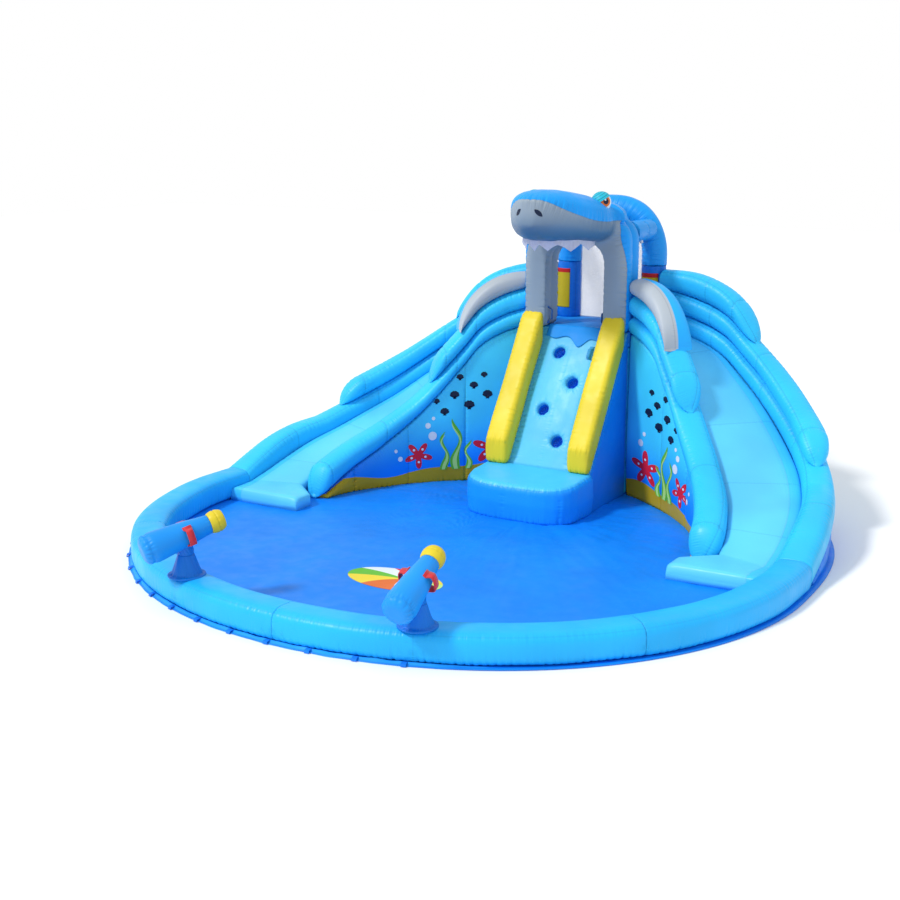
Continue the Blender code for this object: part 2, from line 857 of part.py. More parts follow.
def make_climbing_wall():
    """A wedge whose sloping face is crowned between the rails and has foot holes."""
    foot, up, normal = slope_frame()
    length = math.hypot(WALL_TOP_Y - WALL_FOOT_Y, DECK_TOP - WALL_FOOT_Z)
    low = BASE_Z
    runs = 8
    rings = []
    across = (-1.0, -0.75, -0.4, 0.0, 0.4, 0.75, 1.0)
    columns = [-TOWER_HALF] + [c * WALL_FIELD_HALF for c in across] + [TOWER_HALF]
    for x in columns:
        inside = max(1 - (x / WALL_FIELD_HALF) ** 2, 0.0)
        ring = [(x, WALL_TOP_Y, low), (x, WALL_FOOT_Y, low)]
        for k in range(runs + 1):
            t = k / runs
            bulge = WALL_CROWN * (inside * math.sin(math.pi * t)) ** 0.7
            spot = foot + up * (length * t) + normal * bulge
            ring.append((x, spot.y, spot.z))
        rings.append(ring)
    wall = add_object("climbing_wall", loft(rings), "pale_vinyl")
    hollow_out(wall, wall_hollow(), "wall_hollow")
    for k in range(FOOT_HOLE_COUNT):
        side = FOOT_HOLE_SIDE if k % 2 == 0 else -FOOT_HOLE_SIDE
        spot = foot + up * (FOOT_HOLE_FIRST + FOOT_HOLE_STEP * k)
        bm = bmesh.new()
        bmesh.ops.create_cone(
            bm,
            cap_ends=True,
            segments=14,
            radius1=FOOT_HOLE_RADIUS * 0.86,
            radius2=FOOT_HOLE_RADIUS,
            depth=2 * FOOT_HOLE_DEPTH,
        )
        turn = normal.to_track_quat("Z", "Y").to_matrix().to_4x4()
        place = Matrix.Translation((side, spot.y, spot.z)) @ turn
        bmesh.ops.transform(bm, matrix=place, verts=bm.verts)
        cutter = add_object(f"foot_hole_cutter_{k}", bm, "floor_vinyl", smooth=False)
        hide_cutter(cutter)
        cut_away(wall, cutter)


def make_rails():
    """Padded rails up both sides of the climbing wall."""
    foot, up, _ = slope_frame()
    back_y = ARCH_FRONT_Y - GAP
    low_z = WALL_FOOT_Z + GAP
    seat = (back_y - foot.y) / up.y
    back_foot_z = foot.z + up.z * seat + GAP / up.y
    front_top = Vector((RAIL_FRONT_Y, low_z + RAIL_FRONT_RISE))
    line = Vector((up.y, up.z))
    top_front_y = back_y - RAIL_TOP_DEPTH
    bend = front_top + line * ((top_front_y - front_top.x) / line.x)
    profile = [
        (RAIL_FRONT_Y, low_z),
        (WALL_FOOT_Y - GAP / up.z, low_z),
        (back_y, back_foot_z),
        (back_y, RAIL_TOP_Z),
        (top_front_y, min(RAIL_TOP_Z, bend.y)),
        (front_top.x, front_top.y),
    ]
    for side_name, side in (("right", 1), ("left", -1)):
        bm = bmesh.new()
        points = [(side * RAIL_INNER, y, z) for y, z in profile]
        face = bm.faces.new([bm.verts.new(point) for point in points])
        grown = bmesh.ops.extrude_face_region(bm, geom=[face])
        verts = [item for item in grown["geom"] if isinstance(item, bmesh.types.BMVert)]
        bmesh.ops.translate(bm, verts=verts, vec=(side * (TOWER_HALF - RAIL_INNER), 0, 0))
        rail = add_object(f"climb_rail_{side_name}", bm, "yellow_vinyl")
        bevel_edges(rail, RAIL_ROUND)


def make_step():
    """The landing step: a pad with a rounded front that rises to the wall's foot."""
    low = BASE_Z
    back = WALL_FOOT_Y - GAP
    count = 14
    power = STEP_SQUARENESS
    front = [Vector((STEP_HALF, back))]
    centre_y = back - 0.12
    for k in range(count + 1):
        angle = math.pi * k / count
        x = STEP_HALF * signed_power(math.cos(angle), 2 / power)
        y = centre_y - (centre_y - STEP_FRONT_Y) * signed_power(math.sin(angle), 2 / power)
        front.append(Vector((x, y)))
    front.append(Vector((-STEP_HALF, back)))
    heart = Vector((0.0, back))

    def level(inset, rise):
        ring = []
        for point in front:
            if point.y == back:
                spot = Vector((point.x * (1 - inset / STEP_HALF), back))
            else:
                spot = point + (heart - point).normalized() * inset
            share = (spot.y - STEP_FRONT_Y) / (back - STEP_FRONT_Y)
            slope = mix(0.0, WALL_FOOT_Z - STEP_EDGE_Z, share**0.8)
            ring.append((spot.x, spot.y, rise(slope)))
        return ring

    rings = [
        level(0.012, lambda slope: low),
        level(0.0, lambda slope: mix(low, STEP_EDGE_Z, 0.5)),
        level(0.006, lambda slope: STEP_EDGE_Z - STEP_ROUND + slope * 0.6),
        level(STEP_ROUND, lambda slope: STEP_EDGE_Z + slope * 0.92),
        level(0.16, lambda slope: STEP_EDGE_Z + slope),
    ]
    add_object("landing_step", loft(rings), "pale_vinyl")


def make_tower():
    """The tower's inflated core with the deck on it, and its air inlet."""
    low = BASE_Z
    front = WALL_TOP_Y + GAP
    half = TOWER_HALF
    core_top = DECK_TOP - DECK_THICK - GAP
    bm = box_bmesh((-half, front, low), (half, TOWER_BACK, core_top))
    core = add_object("tower_core", bm, "sky_vinyl", smooth=False)
    wall = CHAMBER_WALL
    hollow_low = (-half + wall, front + wall, 0.0)
    hollow_high = (half - wall, TOWER_BACK - wall, core_top - wall)
    hollow_out(core, box_bmesh(hollow_low, hollow_high), "tower_hollow")
    deck = box_bmesh((-half, front, DECK_TOP - DECK_THICK), (half, TOWER_BACK, DECK_TOP))
    add_object("deck", deck, "pale_vinyl", smooth=False)
    bm = bmesh.new()
    bmesh.ops.create_cone(
        bm,
        cap_ends=False,
        segments=20,
        radius1=INLET_RADIUS,
        radius2=INLET_RADIUS,
        depth=INLET_LENGTH,
    )
    centre = (INLET_X, TOWER_BACK + GAP + INLET_LENGTH / 2, INLET_Z)
    lay = Matrix.Rotation(math.pi / 2, 4, "X")
    bmesh.ops.transform(bm, matrix=Matrix.Translation(centre) @ lay, verts=bm.verts)
    sleeve = add_object("air_inlet_sleeve", bm, "deep_vinyl")
    skin = sleeve.modifiers.new("skin", "SOLIDIFY")
    skin.thickness = INLET_WALL
    skin.offset = -1
    bm = bmesh.new()
    bmesh.ops.create_cone(
        bm,
        cap_ends=True,
        segments=20,
        radius1=INLET_RADIUS - INLET_WALL,
        radius2=INLET_RADIUS - INLET_WALL,
        depth=4 * CHAMBER_WALL,
    )
    centre = (INLET_X, TOWER_BACK, INLET_Z)
    bmesh.ops.transform(bm, matrix=Matrix.Translation(centre) @ lay, verts=bm.verts)
    hollow_out(core, bm, "inlet_hole")


def arch_outline(bottom):
    """The front arch seen from the front, round a doorway with a curved top."""
    rise = ARCH_CROWN_Z - ARCH_SPRING_Z
    shoulder = 7
    outer = [(TOWER_HALF, bottom), (TOWER_HALF, ARCH_SPRING_Z + 0.02)]
    top_start = ARCH_SPRING_Z + 0.16
    for k in range(1, shoulder + 1):
        angle = math.pi / 2 * k / shoulder
        x = mix(ARCH_HEAD_HALF - 0.10, TOWER_HALF, math.cos(angle))
        z = mix(top_start, ARCH_HEAD_Z - GAP, math.sin(angle))
        outer.append((x, z))
    inner = []
    steps = 6
    for k in range(steps + 1):
        angle = math.pi / 2 * k / steps
        inner.append((ARCH_INNER_HALF * math.sin(angle), ARCH_SPRING_Z + rise * math.cos(angle)))
    inner.append((ARCH_INNER_HALF, bottom))
    right = outer
    left = [(-x, z) for x, z in reversed(outer)]
    inner_left = [(-x, z) for x, z in reversed(inner[1:])]
    return right + left + inner_left + inner


def make_front_arch():
    """The arch in two layers: a grey front, and a blue back that is its outer rim."""
    base = DECK_TOP + GAP
    front = ARCH_FRONT_Y
    layers = {
        "arch_front": (front, front + ARCH_GREY_DEPTH, "grey_vinyl"),
        "arch_rim": (
            front + ARCH_GREY_DEPTH + GAP,
            front + ARCH_GREY_DEPTH + ARCH_BLUE_DEPTH,
            "sky_vinyl",
        ),
    }
    for name, (start, end, material) in layers.items():
        bm = bmesh.new()
        outline = arch_outline(base)
        face = bm.faces.new([bm.verts.new((x, start, z)) for x, z in outline])
        grown = bmesh.ops.extrude_face_region(bm, geom=[face])
        verts = [item for item in grown["geom"] if isinstance(item, bmesh.types.BMVert)]
        bmesh.ops.translate(bm, verts=verts, vec=(0, end - start, 0))
        arch = add_object(name, bm, material)
        bevel_edges(arch, ARCH_ROUND)


def head_half(share):
    """Half the head's width, by share of the way from nose to arch and past it."""
    back = 1 - min(share, 1.0)
    half = HEAD_HALF * (1 - back**HEAD_POINT) ** (1 / HEAD_POINT)
    return half - HEAD_TAPER * max(share - 1, 0.0)


def head_shares(last):
    shares = (0.02, 0.06, 0.13, 0.24, 0.40, 0.60, 0.80, 1.0)
    return [share for share in shares if share < last - 0.02] + [last]


def head_ring(share, edge, crest, power):
    """Half of a head section: flat along its edge, and round towards its crest."""
    y = mix(HEAD_NOSE_Y, ARCH_FRONT_Y, share)
    half = head_half(share)
    ring = []
    for k in range(HEAD_ARC_POINTS + 1):
        angle = math.pi * k / HEAD_ARC_POINTS
        x = half * signed_power(math.cos(angle), power)
        z = mix(edge, crest, abs(math.sin(angle)) ** power)
        ring.append((x, y, z))
    return ring


def make_head():
    """The shark's head: a blue top, a grey jaw under it, teeth and two eyes."""
    arch_depth = ARCH_GREY_DEPTH + ARCH_BLUE_DEPTH
    head_length = ARCH_FRONT_Y - HEAD_NOSE_Y
    last = 1 + arch_depth / head_length
    top_rings = []
    for share in head_shares(last):
        edge = smooth_through(HEAD_LINE, share) + GAP / 2
        crest = smooth_through(HEAD_TOP, share)
        top_rings.append(head_ring(share, edge, crest, HEAD_ROUND))
    head = add_object("shark_head_top", loft(top_rings), "sky_vinyl")
    jaw_rings = []
    jaw_last = 1 - GAP / head_length
    for share in head_shares(jaw_last):
        edge = smooth_through(HEAD_LINE, share) - GAP / 2
        crest = smooth_through(HEAD_CHIN, share)
        jaw_rings.append(head_ring(share, edge, crest, JAW_ROUND))
    jaw = add_object("shark_jaw", loft(jaw_rings), "grey_vinyl")
    make_eyes(head)
    make_teeth(jaw)


def make_eyes(head):
    for side_name, side in (("right", 1), ("left", -1)):
        bm = bmesh.new()
        bmesh.ops.create_uvsphere(bm, u_segments=16, v_segments=10, radius=EYE_RADIUS)
        bmesh.ops.translate(bm, verts=bm.verts, vec=(side * EYE_X, EYE_Y, EYE_Z))
        eye = add_object(f"shark_eye_{side_name}", bm, "sky_vinyl")
        cut_clear_of(eye, head, f"eye_cutter_{side_name}")


def jaw_underside(x, y):
    """The height of the jaw's lower face over a spot on the ground."""
    share = (y - HEAD_NOSE_Y) / (ARCH_FRONT_Y - HEAD_NOSE_Y)
    across = min(abs(x) / head_half(share), 1.0) ** (1 / JAW_ROUND)
    drop = math.sqrt(1 - across**2) ** JAW_ROUND
    return mix(smooth_through(HEAD_LINE, share), smooth_through(HEAD_CHIN, share), drop)


def teeth_edge(angle):
    """The plan of the teeth: a long half oval round the mouth."""
    x = TEETH_HALF * math.cos(angle)
    depth = TEETH_BACK_Y - TEETH_FRONT_Y
    y = TEETH_BACK_Y - depth * abs(math.sin(angle)) ** 0.8
    return Vector((x, y))


def make_teeth(jaw):
    """A hanging strip cut into pointed teeth, sewn to the jaw's underside."""
    steps = TEETH_COUNT * TEETH_STEPS
    rings = []
    centre = Vector((0.0, TEETH_BACK_Y))
    for k in range(steps + 1):
        angle = math.pi * k / steps
        spot = teeth_edge(angle)
        inward = (centre - spot).normalized() if 0 < k < steps else Vector((0.0, 1.0))
        if k in (0, steps):
            inward = Vector((-math.copysign(1.0, spot.x), 0.0))
        back = spot + inward * TEETH_THICK
        chin = jaw_underside(spot.x, spot.y)
        root = chin + 0.02
        wave = abs(math.sin(math.pi * k / TEETH_STEPS)) ** 1.4
        tip = chin - TEETH_DROP * mix(0.35, 1.0, wave)
        rings.append([raised(spot, tip), raised(spot, root), raised(back, root), raised(back, tip)])
    teeth = add_object("teeth_strip", loft(rings), "teeth_fabric", smooth=False)
    cut_clear_of(teeth, jaw, "teeth_cutter")


def circle_ring(centre, across, up, radius, sides=12):
    reach = math.cos(math.pi / sides)
    ring = []
    for k in range(sides):
        angle = 2 * math.pi * (k + 0.5) / sides
        spot = centre + (across * math.cos(angle) + up * math.sin(angle)) * (radius / reach)
        ring.append(tuple(spot))
    return ring


def rear_arch_point(angle, inset=0.0):
    """The rear arch's middle line, or a line inside it."""
    power = 2 / REAR_ROUND_POWER
    x = (POST_X - inset) * signed_power(math.cos(angle), power)
    rise = REAR_CROWN_Z - inset - REAR_SPRING_Z
    z = REAR_SPRING_Z + rise * signed_power(math.sin(angle), power)
    return Vector((x, POST_Y, z))


def make_rear_frame():
    """Rear posts, the arch over them, the net between them and the side beams."""
    east = Vector((1.0, 0.0, 0.0))
    north = Vector((0.0, 1.0, 0.0))
    for side_name, side in (("right", 1), ("left", -1)):
        rings = []
        for z in (DECK_TOP + GAP, POST_TOP_Z):
            centre = Vector((side * POST_X, POST_Y, z))
            rings.append(circle_ring(centre, east, north, POST_RADIUS))
        add_object(f"rear_post_{side_name}", loft(rings), "deep_vinyl")
    steps = 14
    angles = [math.pi * k / steps for k in range(steps + 1)]
    middle = [rear_arch_point(angle) for angle in angles]
    base = POST_TOP_Z + GAP
    middle = [Vector((POST_X, POST_Y, base))] + middle + [Vector((-POST_X, POST_Y, base))]
    rings = []
    for k, spot in enumerate(middle):
        if k == 0:
            across = east
        elif k == len(middle) - 1:
            across = -east
        else:
            heading = (middle[k + 1] - middle[k - 1]).normalized()
            across = Vector((heading.z, 0.0, -heading.x))
        rings.append(circle_ring(spot, across, north, POST_RADIUS))
    arch = add_object("rear_arch", loft(rings), "sky_vinyl")
    make_net()
    make_beams(arch)


def make_net():
    """The safety net that closes the back of the deck between the posts."""
    inset = POST_RADIUS + 4 * GAP
    half = POST_X - inset
    outline = [(half, DECK_TOP + GAP), (half, REAR_SPRING_Z)]
    steps = 14
    for k in range(1, steps):
        spot = rear_arch_point(math.pi * k / steps, inset + 0.004)
        outline.append((spot.x, spot.z))
    outline += [(-half, REAR_SPRING_Z), (-half, DECK_TOP + GAP)]
    bm = bmesh.new()
    front = POST_Y - NET_THICK / 2
    face = bm.faces.new([bm.verts.new((x, front, z)) for x, z in outline])
    grown = bmesh.ops.extrude_face_region(bm, geom=[face])
    verts = [item for item in grown["geom"] if isinstance(item, bmesh.types.BMVert)]
    bmesh.ops.translate(bm, verts=verts, vec=(0, NET_THICK, 0))
    add_object("back_net", bm, "net_fabric", smooth=False)


def make_beams(arch):
    """Beams from the front arch to the rear arch, with a spray head under each."""
    east = Vector((1.0, 0.0, 0.0))
    high = Vector((0.0, 0.0, 1.0))
    start = ARCH_FRONT_Y + ARCH_GREY_DEPTH + ARCH_BLUE_DEPTH + GAP
    for side_name, side in (("right", 1), ("left", -1)):
        rings = []
        for y in (start, POST_Y):
            centre = Vector((side * BEAM_X, y, BEAM_Z))
            rings.append(circle_ring(centre, east, high, BEAM_RADIUS))
        beam = add_object(f"side_beam_{side_name}", loft(rings), "sky_vinyl")
        cut_clear_of(beam, arch, f"beam_cutter_{side_name}")
        bm = bmesh.new()
        bmesh.ops.create_cone(
            bm,
            cap_ends=True,
            segments=12,
            radius1=SPRAY_RADIUS,
            radius2=SPRAY_RADIUS * 0.7,
            depth=SPRAY_LENGTH,
        )
        dip = math.radians(SPRAY_DIP)
        reach = BEAM_RADIUS + GAP + SPRAY_LENGTH / 2
        turn = Matrix.Rotation(side * (math.pi / 2 + dip), 4, "Y")
        spot = (side * (BEAM_X + reach * math.cos(dip)), SPRAY_Y, BEAM_Z - reach * math.sin(dip))
        place = Matrix.Translation(spot) @ turn
        bmesh.ops.transform(bm, matrix=place, verts=bm.verts)
        add_object(f"spray_head_{side_name}", bm, "fitting_plastic")


def strap_bmesh(length, stand, width, thick):
    """A hand strap lying on z = 0: two sewn ends and a loop that stands off."""
    end = length * 0.16
    run = length / 2
    outer = [
        (-run, 0.0),
        (-run, thick),
        (-run + end * 0.8, thick),
        (-run + end * 1.5, stand + thick),
        (run - end * 1.5, stand + thick),
        (run - end * 0.8, thick),
        (run, thick),
        (run, 0.0),
    ]
    inner = [
        (run - end, 0.0),
        (run - end * 1.6, stand),
        (-run + end * 1.6, stand),
        (-run + end, 0.0),
    ]
    bm = bmesh.new()
    points = outer + inner
    face = bm.faces.new([bm.verts.new((x, -width / 2, z)) for x, z in points])
    grown = bmesh.ops.extrude_face_region(bm, geom=[face])
    verts = [item for item in grown["geom"] if isinstance(item, bmesh.types.BMVert)]
    bmesh.ops.translate(bm, verts=verts, vec=(0, width, 0))
    return bm


def placed(origin, along, out):
    """A matrix that lays a strap's length along one way and its loop another."""
    along = Vector(along).normalized()
    out = Vector(out).normalized()
    side = out.cross(along)
    turn = Matrix((along, side, out)).transposed().to_4x4()
    return Matrix.Translation(origin) @ turn


def make_hand_straps():
    """A strap on the inside of each arch leg, and one on the climbing wall."""
    mid_y = ARCH_FRONT_Y + ARCH_GREY_DEPTH / 2
    for side_name, side in (("right", 1), ("left", -1)):
        bm = strap_bmesh(LEG_STRAP_LENGTH, LEG_STRAP_STAND, STRAP_WIDTH, STRAP_THICK)
        origin = Vector((side * (ARCH_INNER_HALF - GAP), mid_y, LEG_STRAP_Z))
        bmesh.ops.transform(bm, matrix=placed(origin, (0, 0, 1), (-side, 0, 0)), verts=bm.verts)
        add_object(f"leg_strap_{side_name}", bm, "blue_strap", smooth=False)
    foot, up, normal = slope_frame()
    bm = strap_bmesh(WALL_STRAP_LENGTH, LEG_STRAP_STAND, STRAP_WIDTH, STRAP_THICK)
    spot = foot + up * WALL_STRAP_RUN + normal * WALL_STRAP_SEAT
    origin = Vector((WALL_STRAP_X, spot.y, spot.z))
    bmesh.ops.transform(bm, matrix=placed(origin, up, normal), verts=bm.verts)
    strap = add_object("wall_strap", bm, "blue_strap", smooth=False)
    cut_clear_of(strap, bpy.data.objects["climbing_wall"], "wall_strap_cutter")


def turned_bmesh(profile, segments=16):
    """A profile of (radius, height) pairs turned about Z, closed by flat ends."""
    bm = bmesh.new()
    rows = []
    for radius, z in profile:
        row = []
        for k in range(segments):
            angle = 2 * math.pi * k / segments
            row.append(bm.verts.new((radius * math.cos(angle), radius * math.sin(angle), z)))
        rows.append(row)
    for near, far in zip(rows, rows[1:]):
        for i in range(segments):
            j = (i + 1) % segments
            bm.faces.new((near[i], near[j], far[j], far[i]))
    bm.faces.new(rows[0])
    bm.faces.new(rows[-1])
    return bm


def barrel_profile():
    """The barrel's radius along its length, tail first: a bulb and a taper."""
    tail = BARREL_TAIL_RADIUS
    start = -BARREL_BACK - tail * 0.75
    return [
        (tail * 0.35, start),
        (tail * 0.75, start + tail * 0.20),
        (tail * 0.97, start + tail * 0.58),
        (tail, -BARREL_BACK + tail * 0.15),
        (mix(tail, BARREL_MUZZLE_RADIUS, BARREL_TAPER_AT_AXIS), 0.0),
        (mix(tail, BARREL_MUZZLE_RADIUS, BARREL_TAPER_AHEAD), BARREL_FRONT * BARREL_AHEAD),
        (BARREL_MUZZLE_RADIUS, BARREL_FRONT),
    ]


def cap_profile():
    """The spray cap: a collar that swells and rounds over to its jet."""
    start = BARREL_FRONT + GAP
    reach = CAP_LENGTH
    return [
        (CAP_RADIUS * 0.93, start),
        (CAP_RADIUS, start + reach * 0.25),
        (CAP_RADIUS * 0.97, start + reach * 0.60),
        (CAP_RADIUS * 0.75, start + reach * 0.88),
        (CAP_RADIUS * 0.40, start + reach),
    ]


def grip_radius():
    """The barrel's radius where its grips are sewn on."""
    ahead = GRIP_ALONG / (BARREL_FRONT * BARREL_AHEAD)
    taper = mix(BARREL_TAPER_AT_AXIS, BARREL_TAPER_AHEAD, ahead)
    return mix(BARREL_TAIL_RADIUS, BARREL_MUZZLE_RADIUS, taper)


def grip_bmesh(way):
    """A grip round one side of a barrel: two sewn ends and a loop that stands off."""
    radius = grip_radius() - GRIP_SEAT
    outer = []
    inner = []
    for angle, lift in GRIP_STEPS:
        turn = math.radians(angle)
        near = radius + (GRIP_SEAT + GRIP_STAND) * lift
        far = near + GRIP_SEAT * (1 - lift) + GRIP_THICK
        inner.append((way * near * math.cos(turn), near * math.sin(turn)))
        outer.append((way * far * math.cos(turn), far * math.sin(turn)))
    start = GRIP_ALONG - GRIP_WIDTH / 2
    bm = bmesh.new()
    face = bm.faces.new([bm.verts.new((x, start, z)) for x, z in outer + inner[::-1]])
    grown = bmesh.ops.extrude_face_region(bm, geom=[face])
    verts = [item for item in grown["geom"] if isinstance(item, bmesh.types.BMVert)]
    bmesh.ops.translate(bm, verts=verts, vec=(0, GRIP_WIDTH, 0))
    return bm


def make_cannon(side_name, side):
    """One water cannon: a stand on the ring, a soft neck and a tilting barrel."""
    aim, tilt = CANNON_AIM[side_name]
    seat = BASE_Z + RING_HEIGHT + GAP
    stand = turned_bmesh(
        [
            (STAND_FLANGE_RADIUS, seat),
            (STAND_FLANGE_RADIUS, seat + STAND_FLANGE_THICK),
            (STAND_FOOT_RADIUS, seat + STAND_FLANGE_THICK),
            (STAND_TOP_RADIUS, STAND_TOP_Z),
        ]
    )
    stand_part = add_object(f"cannon_stand_{side_name}", stand, "deep_vinyl")
    stand_part.location = (side * CANNON_X, CANNON_Y, 0.0)
    top = (side * CANNON_X, CANNON_Y, STAND_TOP_Z)
    swivel = add_pivot(f"cannon_swivel_axis_{side_name}", ORIGIN, top, (0.0, 0.0, aim))
    neck_height = NECK_TOP_Z - STAND_TOP_Z
    neck = turned_bmesh(
        [
            (STAND_TOP_RADIUS - 0.003, GAP),
            (mix(STAND_TOP_RADIUS, NECK_TOP_RADIUS, 0.5), neck_height / 2),
            (NECK_TOP_RADIUS, neck_height + 0.03),
        ]
    )
    neck_part = add_object(f"cannon_neck_{side_name}", neck, "deep_vinyl", parent=swivel)
    above = (0.0, 0.0, BARREL_AXIS_Z - STAND_TOP_Z)
    hinge = add_pivot(f"cannon_tilt_axis_{side_name}", swivel, above, (tilt, 0.0, 0.0))
    lay = Matrix.Rotation(-math.pi / 2, 4, "X")
    barrel = turned_bmesh(barrel_profile(), 18)
    bmesh.ops.transform(barrel, matrix=lay, verts=barrel.verts)
    barrel_part = add_object(f"cannon_barrel_{side_name}", barrel, "sky_vinyl", parent=hinge)
    cut_clear_of(neck_part, barrel_part, f"neck_cutter_{side_name}")
    cap = turned_bmesh(cap_profile(), 18)
    bmesh.ops.transform(cap, matrix=lay, verts=cap.verts)
    add_object(f"cannon_cap_{side_name}", cap, "yellow_vinyl", parent=hinge)
    for hand, way in (("outer", 1), ("inner", -1)):
        name = f"cannon_grip_{side_name}_{hand}"
        grip_part = add_object(name, grip_bmesh(way), "red_strap", smooth=False, parent=hinge)
        cut_clear_of(grip_part, barrel_part, f"{name}_cutter")


clear_scene()
MATERIALS = make_materials()
ORIGIN = make_origin()
OUTER = outer_plan()
INNER = inner_plan()
RING_PLAN = ring_plan()
STATIONS = slide_stations()
make_ring()
make_floor()
make_slides()
make_outer_walls()
make_inner_walls()
make_climbing_wall()
make_rails()
make_step()
make_tower()
make_front_arch()
make_head()
make_rear_frame()
make_hand_straps()
for cannon_side, cannon_sign in (("right", 1), ("left", -1)):
    make_cannon(cannon_side, cannon_sign)
centre_origin()
bpy.context.view_layer.update()
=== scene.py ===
"""Looks of the inflatable water park, dressed round its CAD frame.

Every air chamber is a soft skin with puckered seams, swept or remeshed in the
space of its solid. Prints, straps, netting, patches and tie loops lie on them.
Lengths are metres. The frame's origin is the middle of the ground it covers.
"""
import math
from bisect import bisect_right
from itertools import groupby

import bmesh
import bpy
from mathutils import Matrix, Vector, noise
from mathutils.bvhtree import BVHTree
from mathutils.kdtree import KDTree


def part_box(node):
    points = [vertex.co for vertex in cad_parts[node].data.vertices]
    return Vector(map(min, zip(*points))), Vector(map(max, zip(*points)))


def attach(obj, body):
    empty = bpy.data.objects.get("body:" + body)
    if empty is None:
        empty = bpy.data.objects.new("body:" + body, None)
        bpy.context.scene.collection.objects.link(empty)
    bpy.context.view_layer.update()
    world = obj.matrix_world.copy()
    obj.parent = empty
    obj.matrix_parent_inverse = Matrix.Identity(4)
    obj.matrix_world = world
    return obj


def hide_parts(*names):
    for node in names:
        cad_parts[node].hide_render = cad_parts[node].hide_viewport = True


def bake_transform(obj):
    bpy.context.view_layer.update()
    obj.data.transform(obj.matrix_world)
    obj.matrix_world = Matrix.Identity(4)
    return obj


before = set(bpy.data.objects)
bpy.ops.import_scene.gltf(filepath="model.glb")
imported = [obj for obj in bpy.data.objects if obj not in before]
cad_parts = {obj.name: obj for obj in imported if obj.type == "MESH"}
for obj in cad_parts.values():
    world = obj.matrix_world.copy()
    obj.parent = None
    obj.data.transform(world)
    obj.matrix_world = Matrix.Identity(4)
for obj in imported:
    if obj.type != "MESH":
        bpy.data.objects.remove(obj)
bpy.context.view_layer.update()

# Plan of the pool and slides, as the frame has it
HEM = 0.02
FRONT_REACH = 2.325
REAR_REACH = 2.50
FRONT_ROUNDNESS = 2.05
REAR_ROUNDNESS = 2.6
SHEET_LOW, SHEET_HIGH = (Vector(corner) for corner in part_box("pool_floor"))
HALF_WIDTH = SHEET_HIGH.x - HEM
POOL_Y = SHEET_LOW.y + FRONT_REACH + HEM
SHEET_TOP = SHEET_HIGH.z
RING_WIDTH = 0.26
RING_HEIGHT = 0.20
RING_ROUNDNESS = 3.2
RING_FOOT = 5.0
RING_SPLIT = 0.43
SEAM_Y = 0.20
TOWER_HALF = 0.46
DECK_TOP = Vector(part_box("deck")[1]).z
TUBE_ROUNDNESS = 2.5
EXIT_Z = 0.12
BED_THICK = 0.10
CURB = 0.13
SLIDE_SHAPE = (
    (0.0, 1.0),
    (0.10, 0.95),
    (0.20, 0.86),
    (0.28, 0.72),
    (0.47, 0.42),
    (0.65, 0.235),
    (0.80, 0.13),
    (0.92, 0.045),
    (1.0, 0.0),
)
OUTER_TUBE_WIDTH = 0.21
LOW_TUBE_HEIGHT = 0.19
LOW_TUBE_SWELL = 0.05
LOW_TUBE_SWELL_START = 0.70
MID_TUBE_HEIGHT = 0.17
TOP_TUBE_HEIGHT = 0.15
TOP_TUBE_SWELL = 0.05
MID_TUBE_END = 0.63
TOP_TUBE_END = 0.29
INNER_TUBE_WIDTH = 0.24
INNER_LOW_HEIGHT = 0.15
INNER_TIP_HEIGHT = 0.238
HIGH_TUBE_END = 0.42
FIN_END = 0.29
FIN_RISE = 0.13
CLOSE_SPAN = 0.06
CLOSE_STEPS = 16
LAP = 0.004
INNER_TIP = (1.67, 0.33)
INNER_START_Y = 1.823
INNER_TURN = math.radians(30)
INNER_PULL = 0.62
TIP_TURN = math.radians(3)
BODY_FRONT_Y = 0.40
SKIRT_INSET = 0.03
PANEL_INSET = 0.035
PANEL_SWELL = 0.021
EXIT_FRONT_Y = -0.05
EXIT_INNER_X = 1.56
POST_X = 0.39
POST_RADIUS = 0.105

# Ways, and the sides that most pieces are made for
EAST = Vector((1.0, 0.0, 0.0))
NORTH = Vector((0.0, 1.0, 0.0))
HIGH = Vector((0.0, 0.0, 1.0))
SIDE_PAIR = (("right", 1), ("left", -1))

# How finely the skins are made, and how they pucker
STEP = 0.0095
SIDES = 44
PUCKER_PITCH = 0.046
FINE_PITCH = 0.021
LINE_WIDTH = 0.007

# Seams as fold depth, fold reach and groove depth
BAFFLE = (0.003, 0.045, 0.003)
END_SEAM = (0.006, 0.06, 0.003)
HEAD_SEAM = (0.0085, 0.11, 0.0005)
ARCH_SEAM = (0.009, 0.065, 0.0005)

# The ground sheet's flat edge, and the webbing loops on its hem
FLAT_EDGE = 0.93
LOOP_PITCH = 0.30
LOOP_WIDTH = 0.032
LOOP_PROFILE = (
    (-0.026, 0.022),
    (-0.008, 0.024),
    (0.010, 0.019),
    (0.014, 0.003),
    (0.009, 0.003),
    (0.006, 0.014),
    (-0.010, 0.018),
    (-0.026, 0.017),
)

# The camera that the proportions were fitted to
CAMERA_PLACE = (4.776, -8.3095, 3.015)
CAMERA_TURN = (76.28, 0.0, 31.05)
CAMERA_LENS = 54


def mix(low, high, share):
    return low + (high - low) * share


def clamp(value, low=0.0, high=1.0):
    return max(low, min(high, value))


def eased(value):
    value = clamp(value)
    return value * value * (3 - 2 * value)


def signed_power(value, power):
    return math.copysign(abs(value) ** power, value)


def angles(count, closed=False):
    """Angles spread evenly round a circle. A closed run ends where it starts."""
    return [2 * math.pi * k / count for k in range(count + closed)]


def shares(count):
    """Even shares from 0 to 1."""
    return [k / count for k in range(count + 1)]


